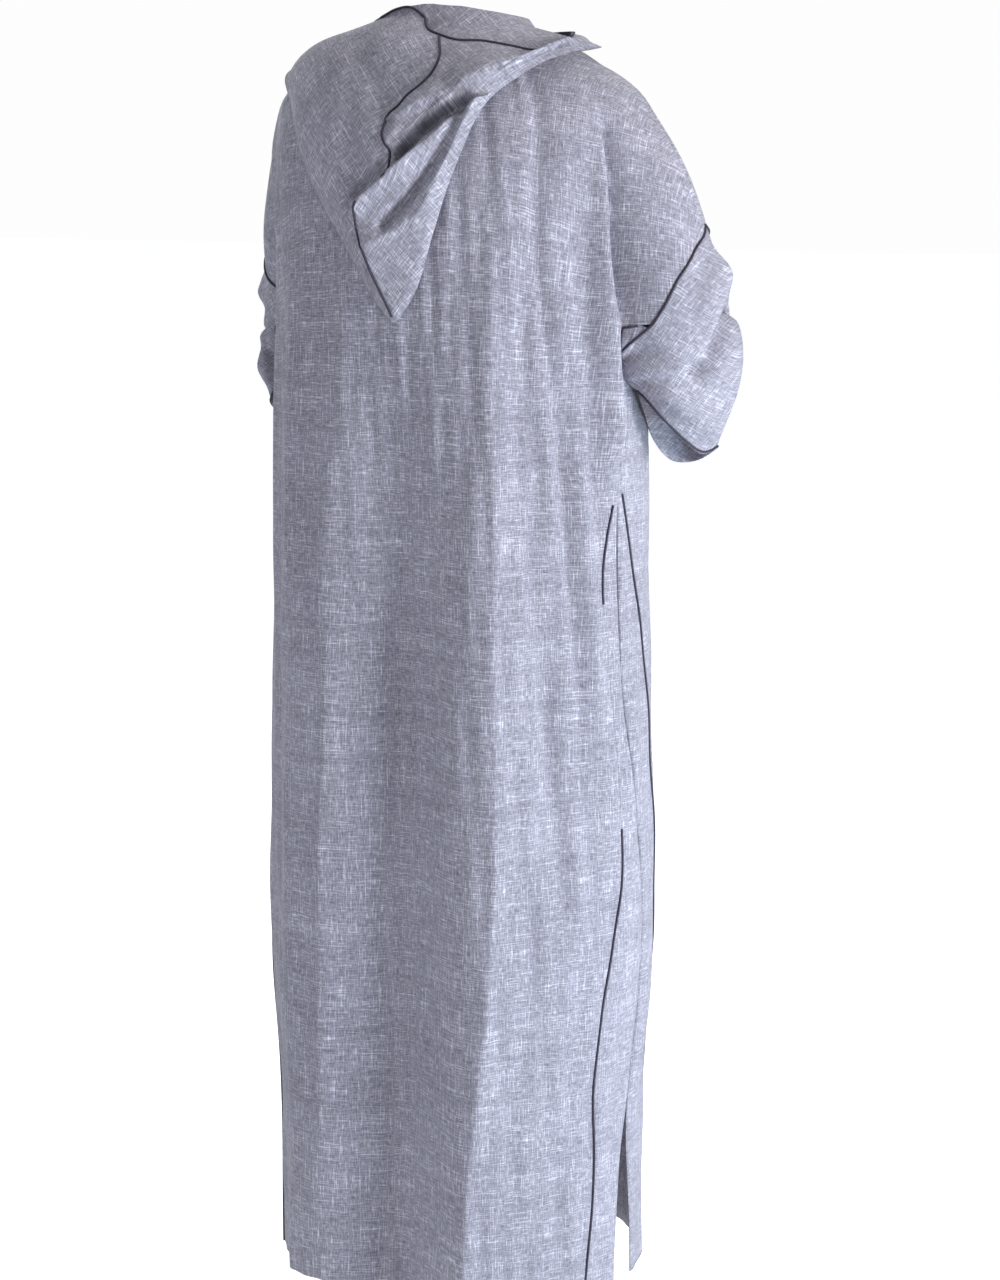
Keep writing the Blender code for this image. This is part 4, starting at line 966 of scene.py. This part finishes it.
def threads(tree, where, across, along, detail, start):
    """The threads group in a material, with how finely it is drawn out each way and where it starts."""
    placed = tree.nodes.new("ShaderNodeGroup")
    placed.node_tree = THREADS
    placed.inputs["Stretch"].default_value = (across, along, 1)
    placed.inputs["Start"].default_value = (start, start * 1.7, start * 0.3)
    placed.inputs["Detail"].default_value = detail
    tree.links.new(where, placed.inputs["Place"])
    return placed.outputs["Thread"]


def spread(tree, value, low, high):
    """A value between two limits, spread out to 0 and 1."""
    made = tree.nodes.new("ShaderNodeMapRange")
    made.interpolation_type = "SMOOTHSTEP"
    made.inputs["From Min"].default_value = low
    made.inputs["From Max"].default_value = high
    tree.links.new(value, made.inputs["Value"])
    return made.outputs["Result"]


def woven_finish(tree, light, shades, relief):
    """A shader coloured and raised by how light its threads are."""
    shader = tree.nodes["Principled BSDF"]
    ramp = tree.nodes.new("ShaderNodeValToRGB")
    steps = ramp.color_ramp.elements
    steps[0].position, steps[0].color = shades[0]
    steps[-1].position, steps[-1].color = shades[-1]
    for at, colour in shades[1:-1]:
        steps.new(at).color = colour
    tree.links.new(light, ramp.inputs["Fac"])
    tree.links.new(ramp.outputs["Color"], shader.inputs["Base Color"])
    bump = tree.nodes.new("ShaderNodeBump")
    bump.inputs["Strength"].default_value, bump.inputs["Distance"].default_value = relief
    tree.links.new(light, bump.inputs["Height"])
    tree.links.new(bump.outputs["Normal"], shader.inputs["Normal"])
    return shader


def slubbed_cloth():
    """The robe's thin cloth: pale slubs both ways over a fine weave."""
    made = bpy.data.materials.new("slubbed_cloth_woven")
    made.use_nodes = True
    tree = made.node_tree
    place = tree.nodes.new("ShaderNodeUVMap")
    place.uv_map = "Weave"
    light = 0.0
    for across, along, detail, start, weight, slubs in CLOTH_THREADS.values():
        thread = threads(tree, place.outputs["UV"], across, along, detail, start)
        if slubs:
            thread = spread(tree, thread, *SLUB_SHOWS)
        light = multiply_add(tree, thread, weight, light)
    shader = woven_finish(tree, light, CLOTH_SHADES, CLOTH_RELIEF)
    for name, value in CLOTH_SURFACE.items():
        shader.inputs[name].default_value = value
    return made


def piping_cloth():
    """The dark cloth that the cords are covered with."""
    made = bpy.data.materials.new("piping_cloth_dark")
    made.use_nodes = True
    tree = made.node_tree
    where = tree.nodes.new("ShaderNodeTexCoord").outputs["Object"]
    weave = threads(tree, where, *PIPING_THREADS)
    shader = woven_finish(tree, weave, PIPING_SHADES, PIPING_RELIEF)
    shader.inputs["Roughness"].default_value = PIPING_ROUGH
    return made


# ---------------------------------------------------------------- making the robe
robe = bpy.data.collections.new("robe")
bpy.context.scene.collection.children.link(robe)
THREADS = threads_group()
cloth, dark = slubbed_cloth(), piping_cloth()

grids = {"back_panel": back_grid(), "front_panel": front_grid()}
for side in ("right", "left"):
    for face in ("back", "front"):
        grids[f"gore_{face}_{side}"] = gore_grid(side, face)
    grids[f"gusset_{side}"] = gusset_grid(side)
    grids[f"sleeve_{side}"] = sleeve_grid(side)
    grids[f"hood_{side}"] = hood_grid(side)
# the plain seam down the middle of each side gore is drawn in a little
for side, edge in (("right", -1), ("left", 0)):
    for face in ("back", "front"):
        gore = grids[f"gore_{face}_{side}"]
        column = edge if face == "back" else -1 - edge
        drawn_in = face_normals(gore)[:, column] * SEAM_SINK
        gore[:, column] -= drawn_in
        gore[:, -2 if column else 1] -= drawn_in / 3    # the column beside it goes in a third as far
for name, points in grids.items():
    cloth_piece(name + "_cloth", points, name, cloth, FRONT_COLUMNS // 2 if name == "front_panel" else None)


def gore_row(below):
    """The row of a gore nearest to a depth below the neck."""
    return round((below - GORE_TOP) / (LENGTH - GORE_TOP) * ROWS["gore"])


def pipe_side(side, edge):
    """One side's cords; edge is the column of a back gore that meets the other gore."""
    gusset, sleeve = grids[f"gusset_{side}"], grids[f"sleeve_{side}"]
    piping_piece(f"armhole_cord_{side}", sleeve[0], face_normals(sleeve)[0], f"armhole_piping_{side}", dark)
    # a gusset faces mostly down, so its cord stands off halfway between that way and straight out
    body, away = gusset[:, -1 - edge], face_normals(gusset)[:, -1 - edge]
    away = unit(away + body * (1, 1, 0) / np.linalg.norm(body[:, :2], axis=-1, keepdims=True))
    half = ROWS["gusset_back"]
    for face, part in (("back", slice(None, half)), ("front", slice(half, None))):
        piping_piece(f"gusset_cord_{face}_{side}", body[part], away[part],
                     f"gusset_piping_{face}_{side}", dark, lift=GUSSET_LIFT)
    for face, stretches in PIPED.items():
        gore = grids[f"gore_{face}_{side}"]
        at_seam = edge if face == "front" else -1 - edge
        away = face_normals(gore)[:, at_seam]
        for name, node, first, last in stretches:
            part = slice(gore_row(first), gore_row(last) + 1)
            piping_piece(f"{name}_{side}", gore[part, at_seam], away[part], f"{node}_{side}", dark)
    piping_piece(f"cuff_cord_{side}", sleeve[-2], face_normals(sleeve)[-2], f"cuff_piping_{side}", dark)


pipe_side("right", -1)
pipe_side("left", 0)

left, right = grids["hood_left"], grids["hood_right"]
rim = np.concatenate([left[0], right[0][1:]])
away = np.concatenate([face_normals(left)[0], face_normals(right)[0][1:]])
piping_piece("hood_rim_cord", rim, away, "hood_rim_piping", dark)
# the seam goes out of sight where the right half folds over the left
for name, first, last in HOOD_SEAM_SHOWS:
    part = slice(round(first * HOOD_OUTER_ROWS), round(last * HOOD_OUTER_ROWS) + 1)
    piping_piece(name, right[part, 0], face_normals(right)[part, 0], "hood_seam_piping", dark)


# ---------------------------------------------------------------- floor, light and camera
def studio_floor():
    """A wide pale floor, seen paler than it lights the robe."""
    mesh = bpy.data.meshes.new("floor")
    corners = [(x * FLOOR_HALF, y * FLOOR_HALF, FLOOR) for x, y in ((-1, -1), (1, -1), (1, 1), (-1, 1))]
    mesh.from_pydata(corners, [], [(0, 1, 2, 3)])
    mesh.shade_smooth()
    made = bpy.data.materials.new("floor")
    made.use_nodes = True
    tree = made.node_tree
    shader = tree.nodes["Principled BSDF"]
    shader.inputs["Base Color"].default_value = FLOOR_COLOUR
    shader.inputs["Roughness"].default_value = FLOOR_ROUGH
    shader.inputs["Emission Color"].default_value = GLOW_COLOUR
    seen = tree.nodes.new("ShaderNodeLightPath").outputs["Is Camera Ray"]
    tree.links.new(multiply_add(tree, seen, *FLOOR_GLOW), shader.inputs["Emission Strength"])
    mesh.materials.append(made)
    piece = bpy.data.objects.new("floor", mesh)
    bpy.context.scene.collection.objects.link(piece)


def studio_sky():
    """Soft light from all round, and a plain pale wall wherever the camera sees past the robe."""
    world = bpy.data.worlds.new("studio")
    bpy.context.scene.world = world
    world.use_nodes = True
    nodes, links = world.node_tree.nodes, world.node_tree.links
    sky, wall = nodes["Background"], nodes.new("ShaderNodeBackground")
    sky.inputs["Color"].default_value = SKY_COLOUR
    sky.inputs["Strength"].default_value = SKY
    wall.inputs["Color"].default_value = WALL_COLOUR
    choice, ray = nodes.new("ShaderNodeMixShader"), nodes.new("ShaderNodeLightPath")
    links.new(ray.outputs["Is Camera Ray"], choice.inputs["Fac"])
    links.new(sky.outputs[0], choice.inputs[1])
    links.new(wall.outputs[0], choice.inputs[2])
    links.new(choice.outputs[0], nodes["World Output"].inputs["Surface"])


def studio_place(nearer, right_by, up_by):
    """A place given as the camera sees it: towards the camera, to its right, and up."""
    turn = math.radians(VIEW_TURN)
    to_camera = np.array([-math.sin(turn), math.cos(turn), 0.0])
    to_right = np.array([-math.cos(turn), -math.sin(turn), 0.0])
    return to_camera * nearer + to_right * right_by + np.array([0, 0, up_by])


def area_light(name, nearer, right_by, up_by, aim, size, power, colour):
    lamp = bpy.data.lights.new(name, "AREA")
    lamp.shape, lamp.size, lamp.energy, lamp.color = "DISK", size, power, colour
    made = bpy.data.objects.new(name, lamp)
    made.location = studio_place(nearer, right_by, up_by)
    made.rotation_euler = (Vector(aim) - made.location).to_track_quat("-Z", "Y").to_euler()
    bpy.context.scene.collection.objects.link(made)


def studio_camera():
    lens = bpy.data.cameras.new("camera")
    lens.lens, lens.sensor_width = LENS, SENSOR
    camera = bpy.data.objects.new("camera", lens)
    camera.location = studio_place(*CAMERA_PLACE)
    camera.rotation_euler = (math.radians(90) - math.radians(VIEW_TILT), 0, math.radians(180 + VIEW_TURN))
    bpy.context.scene.collection.objects.link(camera)
    bpy.context.scene.camera = camera


studio_floor()
studio_sky()
bpy.context.scene.view_settings.view_transform = "Standard"
for lamp in LAMPS:
    area_light(*lamp)
studio_camera()
